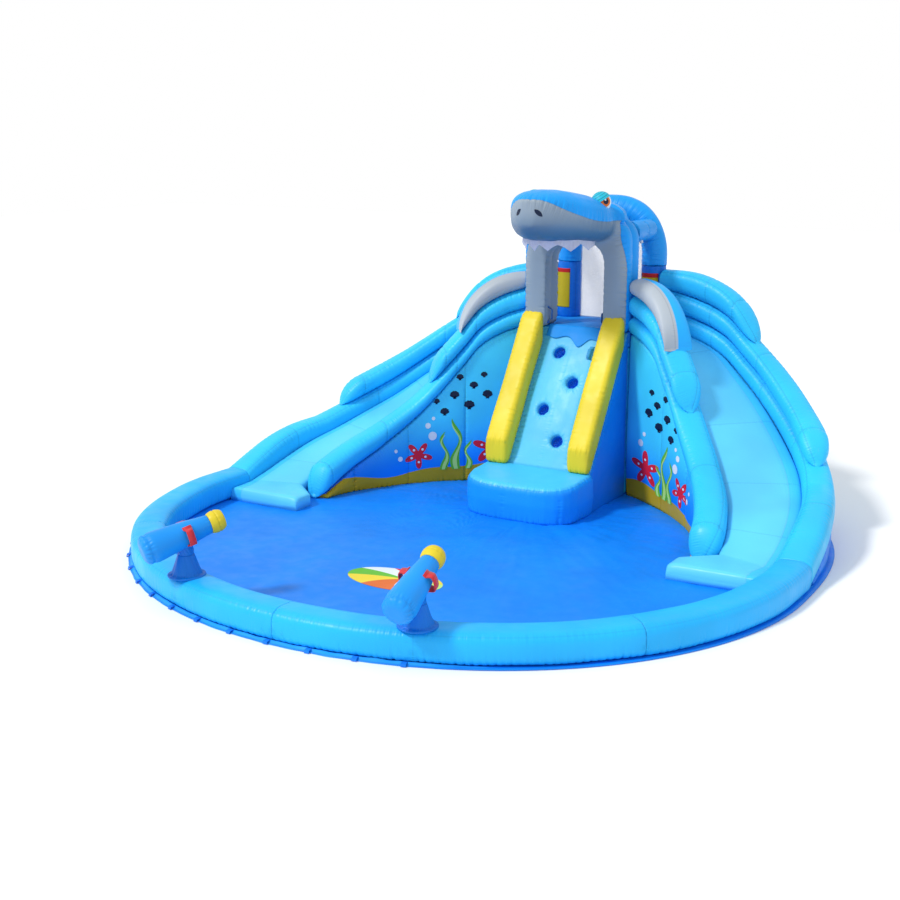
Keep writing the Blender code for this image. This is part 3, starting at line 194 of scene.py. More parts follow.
def smooth_through(points, at):
    """A smooth curve through a few points, read at one place."""
    if at <= points[0][0]:
        return points[0][1]
    for index in range(len(points) - 1):
        x0, y0 = points[index]
        x1, y1 = points[index + 1]
        if at <= x1:
            break
    else:
        return points[-1][1]

    def slope(k):
        low = points[max(k - 1, 0)]
        high = points[min(k + 1, len(points) - 1)]
        return (high[1] - low[1]) / (high[0] - low[0])

    span = x1 - x0
    t = (at - x0) / span
    rise = slope(index) * span
    fall = slope(index + 1) * span
    a = 2 * t**3 - 3 * t**2 + 1
    b = t**3 - 2 * t**2 + t
    c = -2 * t**3 + 3 * t**2
    d = t**3 - t**2
    return a * y0 + b * rise + c * y1 + d * fall


class Plan:
    """A line on the ground, walked by share of its length from 0 to 1."""

    def __init__(self, points):
        self.points = [Vector((x, y + POOL_Y)) for x, y in points]
        self.reach = [0.0]
        for start, end in zip(self.points, self.points[1:]):
            self.reach.append(self.reach[-1] + (end - start).length)
        self.length = self.reach[-1]

    def spot(self, share):
        goal = clamp(share) * self.length
        high = min(bisect_right(self.reach, goal), len(self.points) - 1)
        low = high - 1
        t = (goal - self.reach[low]) / (self.reach[high] - self.reach[low])
        return self.points[low].lerp(self.points[high], t)

    def beside(self, share, offset):
        """A spot moved sideways, away from the pool where offset is positive."""
        heading = (self.spot(share + 0.01) - self.spot(share - 0.01)).normalized()
        side = Vector((-heading.y, heading.x))
        return self.spot(share) + side * offset


def ring_point(angle, reach, roundness):
    x = HALF_WIDTH * signed_power(math.cos(angle), 2 / roundness)
    y = reach * signed_power(math.sin(angle), 2 / roundness)
    return (x, y)


def rear_angle_at_y(y):
    return math.asin((y / REAR_REACH) ** (REAR_ROUNDNESS / 2))


def rear_angle_at_x(x):
    return math.acos((x / HALF_WIDTH) ** (REAR_ROUNDNESS / 2))


def rear_arc(start, end, count=200):
    steps = [mix(start, end, k / count) for k in range(count + 1)]
    return [ring_point(angle, REAR_REACH, REAR_ROUNDNESS) for angle in steps]


def front_arc(count=200):
    return [ring_point(math.pi / 2 * k / count, -FRONT_REACH, FRONT_ROUNDNESS) for k in range(count + 1)]


def inner_points():
    start = Vector((TOWER_HALF + INNER_TUBE_WIDTH / 2 * math.sin(INNER_TURN), INNER_START_Y))
    tip = Vector(INNER_TIP)
    pull = start + Vector((math.cos(INNER_TURN), -math.sin(INNER_TURN))) * INNER_PULL
    draw = tip - Vector((math.sin(TIP_TURN), -math.cos(TIP_TURN))) * INNER_PULL
    points = []
    for t in shares(200):
        u = 1 - t
        points.append(start * u**3 + pull * 3 * u * u * t + draw * 3 * u * t * t + tip * t**3)
    return points


OUTER = Plan(rear_arc(rear_angle_at_x(TOWER_HALF + 0.03), rear_angle_at_y(SEAM_Y)))
RING = Plan(rear_arc(rear_angle_at_y(SEAM_Y), 0.0, 40) + front_arc()[1:])
INNER = Plan(inner_points())


def bed_z(share):
    return EXIT_Z + (DECK_TOP - EXIT_Z) * smooth_through(SLIDE_SHAPE, share)


def low_tube_swell(share):
    along = max(share - LOW_TUBE_SWELL_START, 0.0) / (1 - LOW_TUBE_SWELL_START)
    return LOW_TUBE_SWELL * math.sin(math.pi * along)


def outer_rail_z(share):
    curb = mix(CURB, SHEET_TOP + RING_HEIGHT - EXIT_Z, share**3)
    return bed_z(share) + curb + low_tube_swell(share)


def outer_width(share):
    return mix(OUTER_TUBE_WIDTH, RING_WIDTH, share**3)


def outer_roundness(share):
    return mix(TUBE_ROUNDNESS, RING_ROUNDNESS, share**3)


def outer_height(share):
    return mix(LOW_TUBE_HEIGHT, RING_HEIGHT, share**3) + low_tube_swell(share)


def inner_height(share):
    return mix(INNER_LOW_HEIGHT, INNER_TIP_HEIGHT, share**2)


def inner_rail_z(share):
    return bed_z(share) + CURB


# Materials


def node_tree(name):
    material = bpy.data.materials.new(name)
    material.use_nodes = True
    tree = material.node_tree
    return material, tree, tree.nodes["Principled BSDF"]


def fill_sockets(tree, node, sockets):
    """Each named socket of a node is linked to another socket or takes a value."""
    for name, given in sockets.items():
        if isinstance(given, bpy.types.NodeSocket):
            tree.links.new(given, node.inputs[name])
        else:
            node.inputs[name].default_value = given


def add_node(tree, kind, sockets, **settings):
    node = tree.nodes.new(f"ShaderNode{kind}")
    for name, value in settings.items():
        setattr(node, name, value)
    fill_sockets(tree, node, sockets)
    return node


def value_range(tree, source, low, high, to_low=0.0, to_high=1.0):
    """A soft step of a value between two levels."""
    sockets = {"Value": source, "From Min": low, "From Max": high, "To Min": to_low, "To Max": to_high}
    return add_node(tree, "MapRange", sockets, interpolation_type="SMOOTHSTEP").outputs["Result"]


def colour_mix(tree, factor, first, second, blend="MIX"):
    """A Mix node of two colours, each given as a socket or as a value."""
    first, second = ((*given, 1.0) if isinstance(given, tuple) else given for given in (first, second))
    sockets = {0: factor, 6: first, 7: second}
    return add_node(tree, "Mix", sockets, data_type="RGBA", blend_type=blend).outputs[2]


def noise_value(tree, coordinates, scale, detail=2.0, roughness=0.5):
    sockets = {"Vector": coordinates, "Scale": scale, "Detail": detail, "Roughness": roughness}
    return add_node(tree, "TexNoise", sockets).outputs["Fac"]


def attribute(tree, name):
    return add_node(tree, "Attribute", {}, attribute_name=name).outputs["Fac"]


def bump(tree, shader, height, strength, distance, below=None):
    sockets = {"Strength": strength, "Distance": distance, "Height": height}
    if below is not None:
        sockets["Normal"] = below
    normal = add_node(tree, "Bump", sockets).outputs["Normal"]
    tree.links.new(normal, shader.inputs["Normal"])
    return normal


def vinyl(name, colour, roughness=0.42, low=None, second=None, line=0.84):
    """Coated fabric: colour that drifts a little, welded seam lines with fine
    pleats, a faint grid of threads under the coat and an uneven gloss.

    low is (bottom z, top z, colour) for a colour that deepens downwards, with two
    more places along Y where it clears again; on the jaw this is painted shade.
    second is the colour past the piece's tint border. line is how dark the seam
    lines are, 1 for not at all.
    """
    material, tree, shader = node_tree(name)
    spot = add_node(tree, "TexCoord", {}).outputs["Object"]
    base = colour
    if low is not None:
        axes = add_node(tree, "SeparateXYZ", {"Vector": spot}).outputs
        height = value_range(tree, axes["Z"], low[0], low[1])
        if len(low) > 3:
            height = number(tree, "MAXIMUM", height, value_range(tree, axes["Y"], low[3], low[4]))
        base = colour_mix(tree, height, low[2], colour)
    if second is not None:
        border = value_range(tree, attribute(tree, "tint"), -0.002, 0.002)
        base = colour_mix(tree, border, base, second)
    drift = value_range(tree, noise_value(tree, spot, 1.7), 0.3, 0.7, 0.90, 1.06)
    base = colour_mix(tree, 1.0, base, drift, "MULTIPLY")
    seam = value_range(tree, attribute(tree, "seam"), LINE_WIDTH * 0.4, LINE_WIDTH, line, 1.0)
    base = colour_mix(tree, 1.0, base, seam, "MULTIPLY")
    gloss = noise_value(tree, spot, 9.0, 3.0)
    uneven = value_range(tree, gloss, 0.3, 0.7, roughness - 0.07, roughness + 0.07)
    finish = {"Base Color": base, "Roughness": uneven, "Specular IOR Level": 0.24}
    fill_sockets(tree, shader, {**finish, "Coat Weight": 0.04, "Coat Roughness": 0.3})
    grid = {"Vector": spot, "Scale": 420.0, "Randomness": 0.0}
    threads = add_node(tree, "TexVoronoi", grid, distance="CHEBYCHEV").outputs["Distance"]
    weave = bump(tree, shader, threads, 0.10, 0.0006)
    soft = bump(tree, shader, noise_value(tree, spot, 26.0, 3.0, 0.55), 0.16, 0.004, weave)
    bump(tree, shader, fine_pleats(tree), 0.4, 0.0018, soft)
    return material


def number(tree, kind, first, second=0.0):
    """A Math node of two numbers, each given as a socket or as a value."""
    return add_node(tree, "Math", {0: first, 1: second}, operation=kind).outputs[0]


def fine_pleats(tree):
    """Hair-fine gathers along the seams, from the run and nearness on the mesh."""
    run = attribute(tree, "run")
    turn = number(tree, "MULTIPLY", run, 2 * math.pi / FINE_PITCH)
    sway = add_node(tree, "TexNoise", {"Scale": 14.0, "W": run}, noise_dimensions="1D").outputs["Fac"]
    turn = number(tree, "ADD", turn, number(tree, "MULTIPLY", sway, 16.0))
    return number(tree, "MULTIPLY", number(tree, "SINE", turn), attribute(tree, "near"))


def cloth(name, colour, roughness, thread, depth, open_share=0.0):
    """Webbing, netting or thin fabric with a plain weave that shows."""
    material, tree, shader = node_tree(name)
    spot = add_node(tree, "TexCoord", {}).outputs["Object"]
    waves = []
    for way in ("X", "Z"):
        sockets = {"Scale": thread, "Distortion": 0.6, "Vector": spot}
        waves.append(add_node(tree, "TexWave", sockets, bands_direction=way).outputs["Fac"])
    weave = number(tree, "MULTIPLY", *waves)
    base = colour_mix(tree, weave, tuple(0.72 * part for part in colour), colour)
    drift = value_range(tree, noise_value(tree, spot, 4.0), 0.3, 0.7, 0.9, 1.05)
    base = colour_mix(tree, 1.0, base, drift, "MULTIPLY")
    fill_sockets(tree, shader, {"Base Color": base, "Roughness": roughness, "Sheen Weight": 0.2})
    bump(tree, shader, weave, 0.5, depth)
    if open_share:
        mesh = value_range(tree, weave, 0.12, 0.30, 1 - open_share, 1.0)
        fill_sockets(tree, shader, {"Alpha": mesh})
    return material


SKY = (0.028, 0.55, 0.98)
RING_SKY = (0.015, 0.46, 0.97)
DEEP = (0.002, 0.18, 0.70)
SAND = (0.52, 0.36, 0.008)
# Painted shade under the jaw: its grey deepens to dark blue-grey from z 2.40 down to 2.13, and clears again
# from 1.55 to 1.69 along Y, where the arch's legs begin.
JAW_PAINTED_SHADE = (2.13, 2.40, (0.045, 0.14, 0.27), POOL_Y + 1.55, POOL_Y + 1.69)

LOOKS = {
    "ring": vinyl("ring_vinyl", RING_SKY, line=0.92),
    "sky": vinyl("sky_vinyl_soft", SKY),
    "bed": vinyl("bed_vinyl", (0.11, 0.60, 0.93), 0.38, second=(0.05, 0.54, 0.94), line=0.88),
    "panel": vinyl("panel_vinyl", (0.055, 0.66, 1.0), low=(0.10, 0.62, (0.003, 0.23, 0.90)), second=SAND),
    "sheet": vinyl("sheet_vinyl", (0.002, 0.23, 0.88), 0.48),
    "wall": vinyl("wall_vinyl", (0.095, 0.53, 0.87), 0.42, second=(0.004, 0.24, 0.80), line=0.92),
    "step": vinyl("step_vinyl", (0.008, 0.32, 0.92), 0.42, second=(0.06, 0.52, 0.95), line=0.92),
    "deck": vinyl("deck_vinyl", (0.008, 0.29, 0.84), 0.6),
    "deep": vinyl("deep_vinyl_soft", DEEP, 0.42),
    "head": vinyl("head_vinyl", (0.006, 0.33, 0.88)),
    "jaw": vinyl("jaw_vinyl", (0.29, 0.36, 0.43), 0.46, low=JAW_PAINTED_SHADE),
    "fin": vinyl("fin_vinyl", (0.016, 0.42, 0.92), 0.42, second=(0.42, 0.47, 0.52)),
    "yellow": vinyl("yellow_vinyl_soft", (0.78, 0.62, 0.030), 0.46),
    "barrel": vinyl("barrel_vinyl", (0.010, 0.30, 0.88)),
    "pocket": vinyl("pocket_vinyl", (0.004, 0.12, 0.66), 0.35),
    "hem": vinyl("hem_vinyl", (0.014, 0.33, 0.93), 0.5),
    "loop": vinyl("loop_vinyl", (0.006, 0.19, 0.78), 0.5),
    "patch": vinyl("patch_vinyl", (0.62, 0.46, 0.012), 0.55, second=(0.60, 0.012, 0.012)),
    "net": cloth("net_cloth", (0.95, 0.95, 0.95), 0.8, 60.0, 0.0003, 0.9),
    "teeth": cloth("teeth_cloth", (0.66, 0.69, 0.88), 0.6, 140.0, 0.0004),
    "red": cloth("red_webbing", (0.80, 0.012, 0.03), 0.55, 160.0, 0.0006),
    "blue": cloth("blue_webbing", (0.008, 0.14, 0.50), 0.6, 160.0, 0.0006),
    "strap_blue": cloth("strap_webbing", (0.02, 0.42, 0.88), 0.6, 160.0, 0.0006),
    "navy": vinyl("navy_print", (0.006, 0.016, 0.05), 0.5),
    "leaf": vinyl("leaf_print", (0.14, 0.52, 0.03), 0.5),
    "lime": vinyl("lime_print", (0.52, 0.85, 0.22), 0.5),
    "coral": vinyl("coral_print", (0.75, 0.015, 0.04), 0.5),
    "white": vinyl("white_print", (0.78, 0.86, 0.90), 0.5),
    "sun": vinyl("sun_print", (0.88, 0.70, 0.04), 0.5),
    "orange": vinyl("orange_print", (0.75, 0.16, 0.02), 0.45),
    "teal": vinyl("teal_print", (0.02, 0.50, 0.66), 0.45, second=(0.006, 0.10, 0.18)),
    "plastic": vinyl("fitting_plastic_soft", (0.70, 0.74, 0.78), 0.35),
}


# Building skins


def new_piece(name, verts, faces, look, smooth=True):
    mesh = bpy.data.meshes.new(name)
    mesh.from_pydata([tuple(v) for v in verts], [], faces)
    mesh.update()
    if smooth:
        mesh.shade_smooth()
    mesh.materials.append(LOOKS[look])
    piece = bpy.data.objects.new(name, mesh)
    bpy.context.collection.objects.link(piece)
    return piece


def face_out(piece, outward=None):
    """A closed skin's faces are turned out, and an open sheet's to one side."""
    bm = bmesh.new()
    bm.from_mesh(piece.data)
    bmesh.ops.recalc_face_normals(bm, faces=bm.faces)
    if outward is not None:
        total = Vector()
        for face in bm.faces:
            total += face.normal * face.calc_area()
        if total.dot(outward) < 0:
            bmesh.ops.reverse_faces(bm, faces=bm.faces)
    bm.to_mesh(piece.data)
    bm.free()
    piece.data.update()


def open_piece(name, verts, faces, look, outward, thickness=0.0, offset=0):
    """A sheet that faces outward, with a thickness where one is given."""
    piece = new_piece(name, verts, faces, look)
    face_out(piece, outward)
    if thickness:
        wall = piece.modifiers.new("wall", "SOLIDIFY")
        wall.thickness = thickness
        wall.offset = offset
        apply_all(piece)
    return piece


def grid_faces(rows, columns):
    """The faces of a grid, whose points come row by row."""
    starts = [row * (columns + 1) + column for row in range(rows) for column in range(columns)]
    return [(k, k + 1, k + columns + 2, k + columns + 1) for k in starts]


def fan_faces(count, levels):
    """The faces of a fan: its middle, and then rings of count points each."""
    faces = [(0, 1 + i, 1 + (i + 1) % count) for i in range(count)]
    for near in range(1, 1 + (levels - 1) * count, count):
        far = near + count
        faces += [(near + i, far + i, far + (i + 1) % count, near + (i + 1) % count) for i in range(count)]
    return faces


def skin_over(name, rings, look, capped=True, closed=False):
    """A closed skin over rings of equally many points, seen from outside."""
    count = len(rings[0])
    verts = [point for ring in rings for point in ring]
    last = len(verts) - count
    faces = []
    for near in range(0, len(verts) if closed else last, count):
        far = (near + count) % len(verts)
        for i in range(count):
            j = (i + 1) % count
            faces.append((near + i, near + j, far + j, far + i))
    if capped and not closed:
        faces.append(tuple(range(count - 1, -1, -1)))
        faces.append(tuple(range(last, last + count)))
    piece = new_piece(name, verts, faces, look)
    face_out(piece)
    return piece


def raised(point, z):
    return Vector((point.x, point.y, z))


def section(width, height, roundness, top=1.0, foot=None):
    """A soft tube's section as (side, rise) pairs, first point outermost."""
    points = []
    for k, angle in enumerate(angles(SIDES)):
        power = 2 / (foot if foot and 2 * k > SIDES else roundness)
        rise = (signed_power(math.sin(angle), power) + 1) / 2
        side = signed_power(math.cos(angle), power) * (1 - (1 - top) * rise * 0.45)
        points.append((side * width / 2, rise * height * top))
    return points


def shares_between(plan, start, end, closing=False):
    """Shares a step apart, and closer together where a tube rounds off."""
    count = max(int((end - start) * plan.length / STEP), 4)
    steps = [mix(start, end, t) for t in shares(count)]
    if closing:
        close = end - CLOSE_SPAN
        steps = [share for share in steps if share < close - 0.002]
        steps += [close + CLOSE_SPAN * math.sin(math.pi / 2 * t) for t in shares(CLOSE_STEPS)]
    return steps


def measure(given, share):
    """A tube's measure at a share of its run, given as a number or as a curve."""
    return given(share) if callable(given) else given


def tube_rings(plan, start, end, middle, width, bottom, height, roundness, closing=False, foot=None):
    """Rings along a tube. A closing tube narrows to a blunt end."""
    rings = []
    for share in shares_between(plan, start, end, closing):
        top = nose = 1.0
        if closing:
            past = clamp((share - (end - CLOSE_SPAN)) / CLOSE_SPAN)
            top = max(math.sqrt(1 - past**2), 0.12)
            nose = max((1 - past**2.4) ** (1 / 2.4), 0.30)
        wide, high, round_off = (measure(given, share) for given in (width, height, roundness))
        ring = []
        for side, rise in section(wide, high, round_off, top, foot):
            spot = plan.beside(share, measure(middle, share) + side * nose)
            ring.append(raised(spot, measure(bottom, share) + rise))
        rings.append(ring)
    return rings


def along(rings, degrees):
    """The line down a tube at one angle of its section, from outermost to top."""
    index = int(round(degrees / 360 * len(rings[0]))) % len(rings[0])
    return [ring[index] for ring in rings]


def round_at(rings, share):
    """The closed line round a tube at a share of its rings."""
    ring = rings[int(round(clamp(share) * (len(rings) - 1)))]
    return list(ring) + [ring[0]]


def seams_on(rings, lines, rounds=()):
    """Seams down a tube at angles of its section, and then round it at shares."""
    seams = [(along(rings, turn), *kind) for turn, *kind in lines]
    return seams + [(round_at(rings, share), *kind) for share, *kind in rounds]


def keep(piece, name, values):
    """Stores one number for each point of a piece, which its material reads."""
    store = piece.data.attributes.new(name, "FLOAT", "POINT")
    store.data.foreach_set("value", values)


def seam_tree(line):
    """A seam line as closely set points, each with its run and the line's way."""
    spots = []
    run = 0.0
    for start, end in zip(line, line[1:]):
        length = (end - start).length
        steps = max(int(length / 0.012), 1)
        way = (end - start).normalized()
        for k in range(steps):
            spots.append((start.lerp(end, k / steps), run + length * k / steps, way))
        run += length
    tree = KDTree(len(spots))
    for index, spot in enumerate(spots):
        tree.insert(spot[0], index)
    tree.balance()
    return tree, spots, run


def pleat_at(run, pitch, seed, narrow=1.5):
    """The depth of the pleats at a place along a seam: narrow folds, no two alike."""
    turn = 2 * math.pi * run / pitch + 2.4 * noise.noise(Vector((run / 0.22, seed, 9.0)))
    size = 0.35 + 1.5 * abs(noise.noise(Vector((run / pitch * 0.83, seed, 2.0))))
    return size * max(math.cos(turn), 0.0) ** narrow


def sew(piece, seams, swell=0.004, seed=0.0, pitch=PUCKER_PITCH):
    """The skin is drawn in along its seams, with short folds that run off them.

    Each seam is (line, fold depth, fold reach, groove depth). swell is how far
    the rest of the skin drifts in and out. For the material, the mesh keeps the
    distance to the nearest welded seam, the run along it and how near it is.
    """
    mesh = piece.data
    trees = [seam_tree(seam[0]) for seam in seams]
    normals = [vertex.normal.copy() for vertex in mesh.vertices]
    kept = {"seam": [], "run": [], "near": []}
    for vertex, normal in zip(mesh.vertices, normals):
        place = vertex.co.copy()
        dent = 0.0
        welded = 1.0
        found = [(9.0, 0.0, 0.0), (9.0, 0.0, 0.0)]
        for order, (_, depth, reach, groove) in enumerate(seams):
            tree, spots, total = trees[order]
            spot, index, distance = tree.find(place)
            if groove > 0:
                welded = min(welded, distance)
                dent += groove * math.exp(-((distance / 0.008) ** 2))
            if distance > 2.4 * reach:
                continue
            _, run, way = spots[index]
            run += (place - spot).dot(way)
            own = seed + 3.7 * order
            length = reach * (0.45 + 1.4 * abs(noise.noise(Vector((run / pitch, own, 4.0)))))
            fade = math.exp(-((distance / length) ** 2))
            if fade > 0.02:
                dent += depth * fade * pleat_at(run, pitch, own, 0.9 + 2.2 * distance / length)
            ends = clamp(min(run, total - run) / 0.02)
            found.append((distance, run, ends * fade * min(depth / 0.006, 1.3)))
        found.sort()
        (first, run, near), (second, _, _) = found[:2]
        kept["seam"].append(welded)
        kept["run"].append(run)
        kept["near"].append(near * clamp((second - first) / (0.012 + 0.4 * first)))
        drift = swell * noise.noise(place * 2.6 + Vector((seed, 0.0, 0.0)))
        vertex.co = place - normal * (dent + max(drift, -0.002))
    for name, values in kept.items():
        keep(piece, name, values)
    mesh.update()


def tint(piece, border):
    """A crisp colour border: border(vertex) is over 0 in the second colour."""
    keep(piece, "tint", [border(vertex) for vertex in piece.data.vertices])


def plain_seam(piece):
    """A piece with no seam lines says so, so that none is drawn."""
    for name, value in (("seam", 1.0), ("run", 0.0), ("near", 0.0)):
        if name not in piece.data.attributes:
            keep(piece, name, [value] * len(piece.data.vertices))


def dress(piece, nodes=(), body="park"):
    """The piece takes its nodes' place and rides on their body."""
    plain_seam(piece)
    if nodes:
        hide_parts(*nodes)
    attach(piece, body)
    return piece


def inflate(piece, seams, swell, seed, nodes, border=None, body="park", pitch=PUCKER_PITCH):
    """An air chamber's skin is sewn, and tinted where it has a border."""
    sew(piece, seams, swell, seed, pitch)
    if border is not None:
        tint(piece, border)
    dress(piece, nodes, body)


def deselect():
    bpy.ops.object.select_all(action="DESELECT")


def activate(piece):
    deselect()
    piece.select_set(True)
    bpy.context.view_layer.objects.active = piece


def apply_all(piece):
    activate(piece)
    for modifier in list(piece.modifiers):
        bpy.ops.object.modifier_apply(modifier=modifier.name)


def remeshed(name, nodes, look, voxel, rounds, swell=0.0):
    """Copies of some solids, joined, remeshed evenly and rounded off."""
    bm = bmesh.new()
    for node in nodes:
        bm.from_mesh(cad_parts[node].data)
    bmesh.ops.remove_doubles(bm, verts=bm.verts, dist=0.00001)
    mesh = bpy.data.meshes.new(name)
    bm.to_mesh(mesh)
    bm.free()
    piece = bpy.data.objects.new(name, mesh)
    bpy.context.collection.objects.link(piece)
    remesh = piece.modifiers.new("remesh", "REMESH")
    remesh.mode = "VOXEL"
    remesh.voxel_size = voxel
    soft = piece.modifiers.new("soft", "SMOOTH")
    soft.factor = 0.5
    soft.iterations = rounds
    if swell:
        out = piece.modifiers.new("out", "DISPLACE")
        out.strength = swell
        out.mid_level = 0.0
    apply_all(piece)
    piece.data.materials.clear()
    piece.data.materials.append(LOOKS[look])
    piece.data.shade_smooth()
    return piece


def sided(rings, flip):
    """Rings of the right side, mirrored for the left."""
    return rings if flip > 0 else [[Vector((-p[0], p[1], p[2])) for p in ring] for ring in rings]


# The ring and the ground sheet


def make_ring():
    shape = (-RING_WIDTH / 2, RING_WIDTH, SHEET_TOP, RING_HEIGHT, RING_ROUNDNESS, False, RING_FOOT)
    lines = (
        (38, 0.0032, 0.055, 0.0008),
        (322, 0.006, 0.055, 0.0),
        (216, 0.006, 0.055, 0.0),
        (144, 0.003, 0.05, 0.0015),
    )
    runs = (("side", 0.0, RING_SPLIT, (0.0, 1.0)), ("front", RING_SPLIT, 1.0, (0.0, 0.60, 1.0)))
    for side_name, flip in SIDE_PAIR:
        for name, start, end, joins in runs:
            rings = sided(tube_rings(RING, start, end, *shape), flip)
            piece = skin_over(f"pool_ring_{name}_{side_name}", rings, "ring")
            seams = seams_on(rings, lines, [(share, 0.0045, 0.09, 0.0005) for share in joins])
            inflate(piece, seams, 0.005, 3.0, [f"ring_{name}_{side_name}"])


def sheet_outline():
    """The ground sheet's edge, all the way round."""
    outline = [OUTER.beside(share, HEM) for share in shares_between(OUTER, 0.0, 0.999)]
    outline += [RING.beside(share, HEM) for share in shares_between(RING, 0.001, 1.0)]
    right = [(p.x, p.y) for p in outline]
    left = [(-x, y) for x, y in reversed(right) if x > 0.002]
    return right + left


def make_sheet():
    outline = sheet_outline()[::3]
    heart = Vector((0.0, POOL_Y - 0.1))
    levels = [0.04 + 0.96 * k / 84 for k in range(85)]
    verts = [raised(heart, SHEET_TOP)]
    for share in levels:
        for x, y in outline:
            spot = heart.lerp(Vector((x, y)), share)
            verts.append(raised(spot, SHEET_TOP + sheet_ripple(spot, share)))
    faces = fan_faces(len(outline), len(levels))
    piece = open_piece("ground_sheet", verts, faces, "sheet", HIGH, 0.004, -1)
    dress(piece, ["pool_floor"])
    area = shoelace(outline)


def shoelace(outline):
    total = 0.0
    for (x0, y0), (x1, y1) in zip(outline, outline[1:] + outline[:1]):
        total += x0 * y1 - x1 * y0
    return abs(total) / 2


def sheet_ripple(spot, share):
    """Low folds in the pool's floor: long ones fanned from the landing step."""
    if share > FLAT_EDGE:
        return 0.0
    away = spot - Vector((0.0, 1.0 + POOL_Y))
    fan = math.atan2(away.x, -away.y)
    folds = noise.noise(Vector((fan * 16.0, away.length * 0.9, 1.0)))
    fold = (1 - min(abs(folds) * 3.0, 1.0)) * math.exp(-((away.length / 1.5) ** 2))
    drift = noise.noise(Vector((spot.x * 2.2, spot.y * 2.2, 7.0)))
    fine = noise.noise(Vector((spot.x * 9.0, spot.y * 9.0, 2.0)))
    edge = clamp((FLAT_EDGE - share) / 0.1)
    beside = Vector((spot.x / FLOOR_PRINT_WIDTH, (spot.y - POOL_Y - FLOOR_PRINT_Y) / FLOOR_PRINT_HEIGHT))
    calm = eased((beside.length - 1.1) / 0.5)
    return edge * calm * (0.010 * fold + 0.008 * max(drift, -0.2) + 0.003 * fine)


def tucked(spot):
    """How far the hem is tucked under the ring, 0 to 1: along the right side."""
    return eased((spot.x - 0.9) / 0.5)


def way_out(spot, heading):
    """The way out from the pool, square to the outline."""
    outward = Vector((-heading.y, heading.x))
    return -outward if outward.dot(spot - Vector((0.0, POOL_Y))) < 0 else outward


def make_hem():
    """The sheet's edge, turned up and bound, that ripples round the ring's foot."""
    outline = [Vector(point) for point in sheet_outline()]
    rings = []
    run = 0.0
    for i, spot in enumerate(outline):
        after = outline[(i + 1) % len(outline)]
        outward = way_out(spot, (after - outline[i - 1]).normalized())
        run += (spot - outline[i - 1]).length if i else 0.0
        wave = 0.007 * noise.noise(Vector((run * 7.0, 0.0, 3.0)))
        lift = 0.004 * noise.noise(Vector((run * 11.0, 5.0, 0.0)))
        profile = ((-0.045, 0.002), (-0.036, 0.016 + lift), (-0.028, 0.021 + lift), (-0.020, 0.018 + lift))
        profile += ((-0.009 + wave, 0.006), (0.000 + wave, 0.0045), (0.001 + wave, 0.0012))
        tuck = tucked(spot)
        low = 1 - 0.6 * tuck
        rings.append([raised(spot + outward * (side - 0.017 * tuck), z * low) for side, z in profile])
    piece = skin_over("sheet_hem", rings, "hem", closed=True)
    dress(piece)


def make_tie_loops():
    """Short webbing loops on the hem, for ground stakes."""
    outline = [Vector(point) for point in sheet_outline()]
    count = len(LOOP_PROFILE)
    verts = []
    faces = []
    run = 0.0
    for start, end in zip(outline, outline[1:]):
        before = run
        run += (end - start).length
        if int(before / LOOP_PITCH) == int(run / LOOP_PITCH) or tucked(start) >= 0.3:
            continue
        heading = (end - start).normalized()
        outward = way_out(start, heading)
        base = len(verts)
        for edge in (-LOOP_WIDTH / 2, LOOP_WIDTH / 2):
            verts += [raised(start + outward * side + heading * edge, z) for side, z in LOOP_PROFILE]
        for i in range(count):
            j = (i + 1) % count
            faces.append((base + i, base + j, base + count + j, base + count + i))
        faces.append(tuple(range(base + count - 1, base - 1, -1)))
        faces.append(tuple(range(base + count, base + 2 * count)))
    piece = new_piece("tie_loops", verts, faces, "loop", smooth=False)
    face_out(piece)
    dress(piece)


# Slides


def make_outer_tubes():
    def top_height(share):
        return TOP_TUBE_HEIGHT + LAP + TOP_TUBE_SWELL * math.sin(math.pi * share / TOP_TUBE_END)

    def lap_over(rise):
        return lambda share: outer_rail_z(share) + rise - LAP

    def low_bottom(share):
        return outer_rail_z(share) - outer_height(share)

    def middle(share):
        return -outer_width(share) / 2

    runs = (
        ("low", 1.0, low_bottom, outer_height, (0.16, 0.34, 0.52, 0.80)),
        ("mid", MID_TUBE_END, lap_over(0.0), MID_TUBE_HEIGHT + LAP, (0.25, 0.52)),
        ("top", TOP_TUBE_END, lap_over(MID_TUBE_HEIGHT), top_height, (0.5,)),
    )
    lines = (
        (52, 0.0055, 0.06, 0.0),
        (128, 0.0055, 0.06, 0.0015),
        (232, 0.005, 0.06, 0.0015),
        (308, 0.005, 0.06, 0.0),
    )
    for side_name, flip in SIDE_PAIR:
        for name, end, bottom, height, baffles in runs:
            shape = (middle, outer_width, bottom, height, outer_roundness, end < 1.0)
            rings = sided(tube_rings(OUTER, 0.004, end, *shape), flip)
            piece = skin_over(f"slide_wall_{name}_{side_name}", rings, "sky")
            rounds = [(share, *BAFFLE) for share in baffles]
            if end < 1.0:
                rounds.append((1 - (CLOSE_STEPS + 1) / len(rings), *END_SEAM))
            seams = seams_on(rings, lines, rounds)
            inflate(piece, seams, 0.005, 11.0 + end, [f"outer_tube_{name}_{side_name}"])


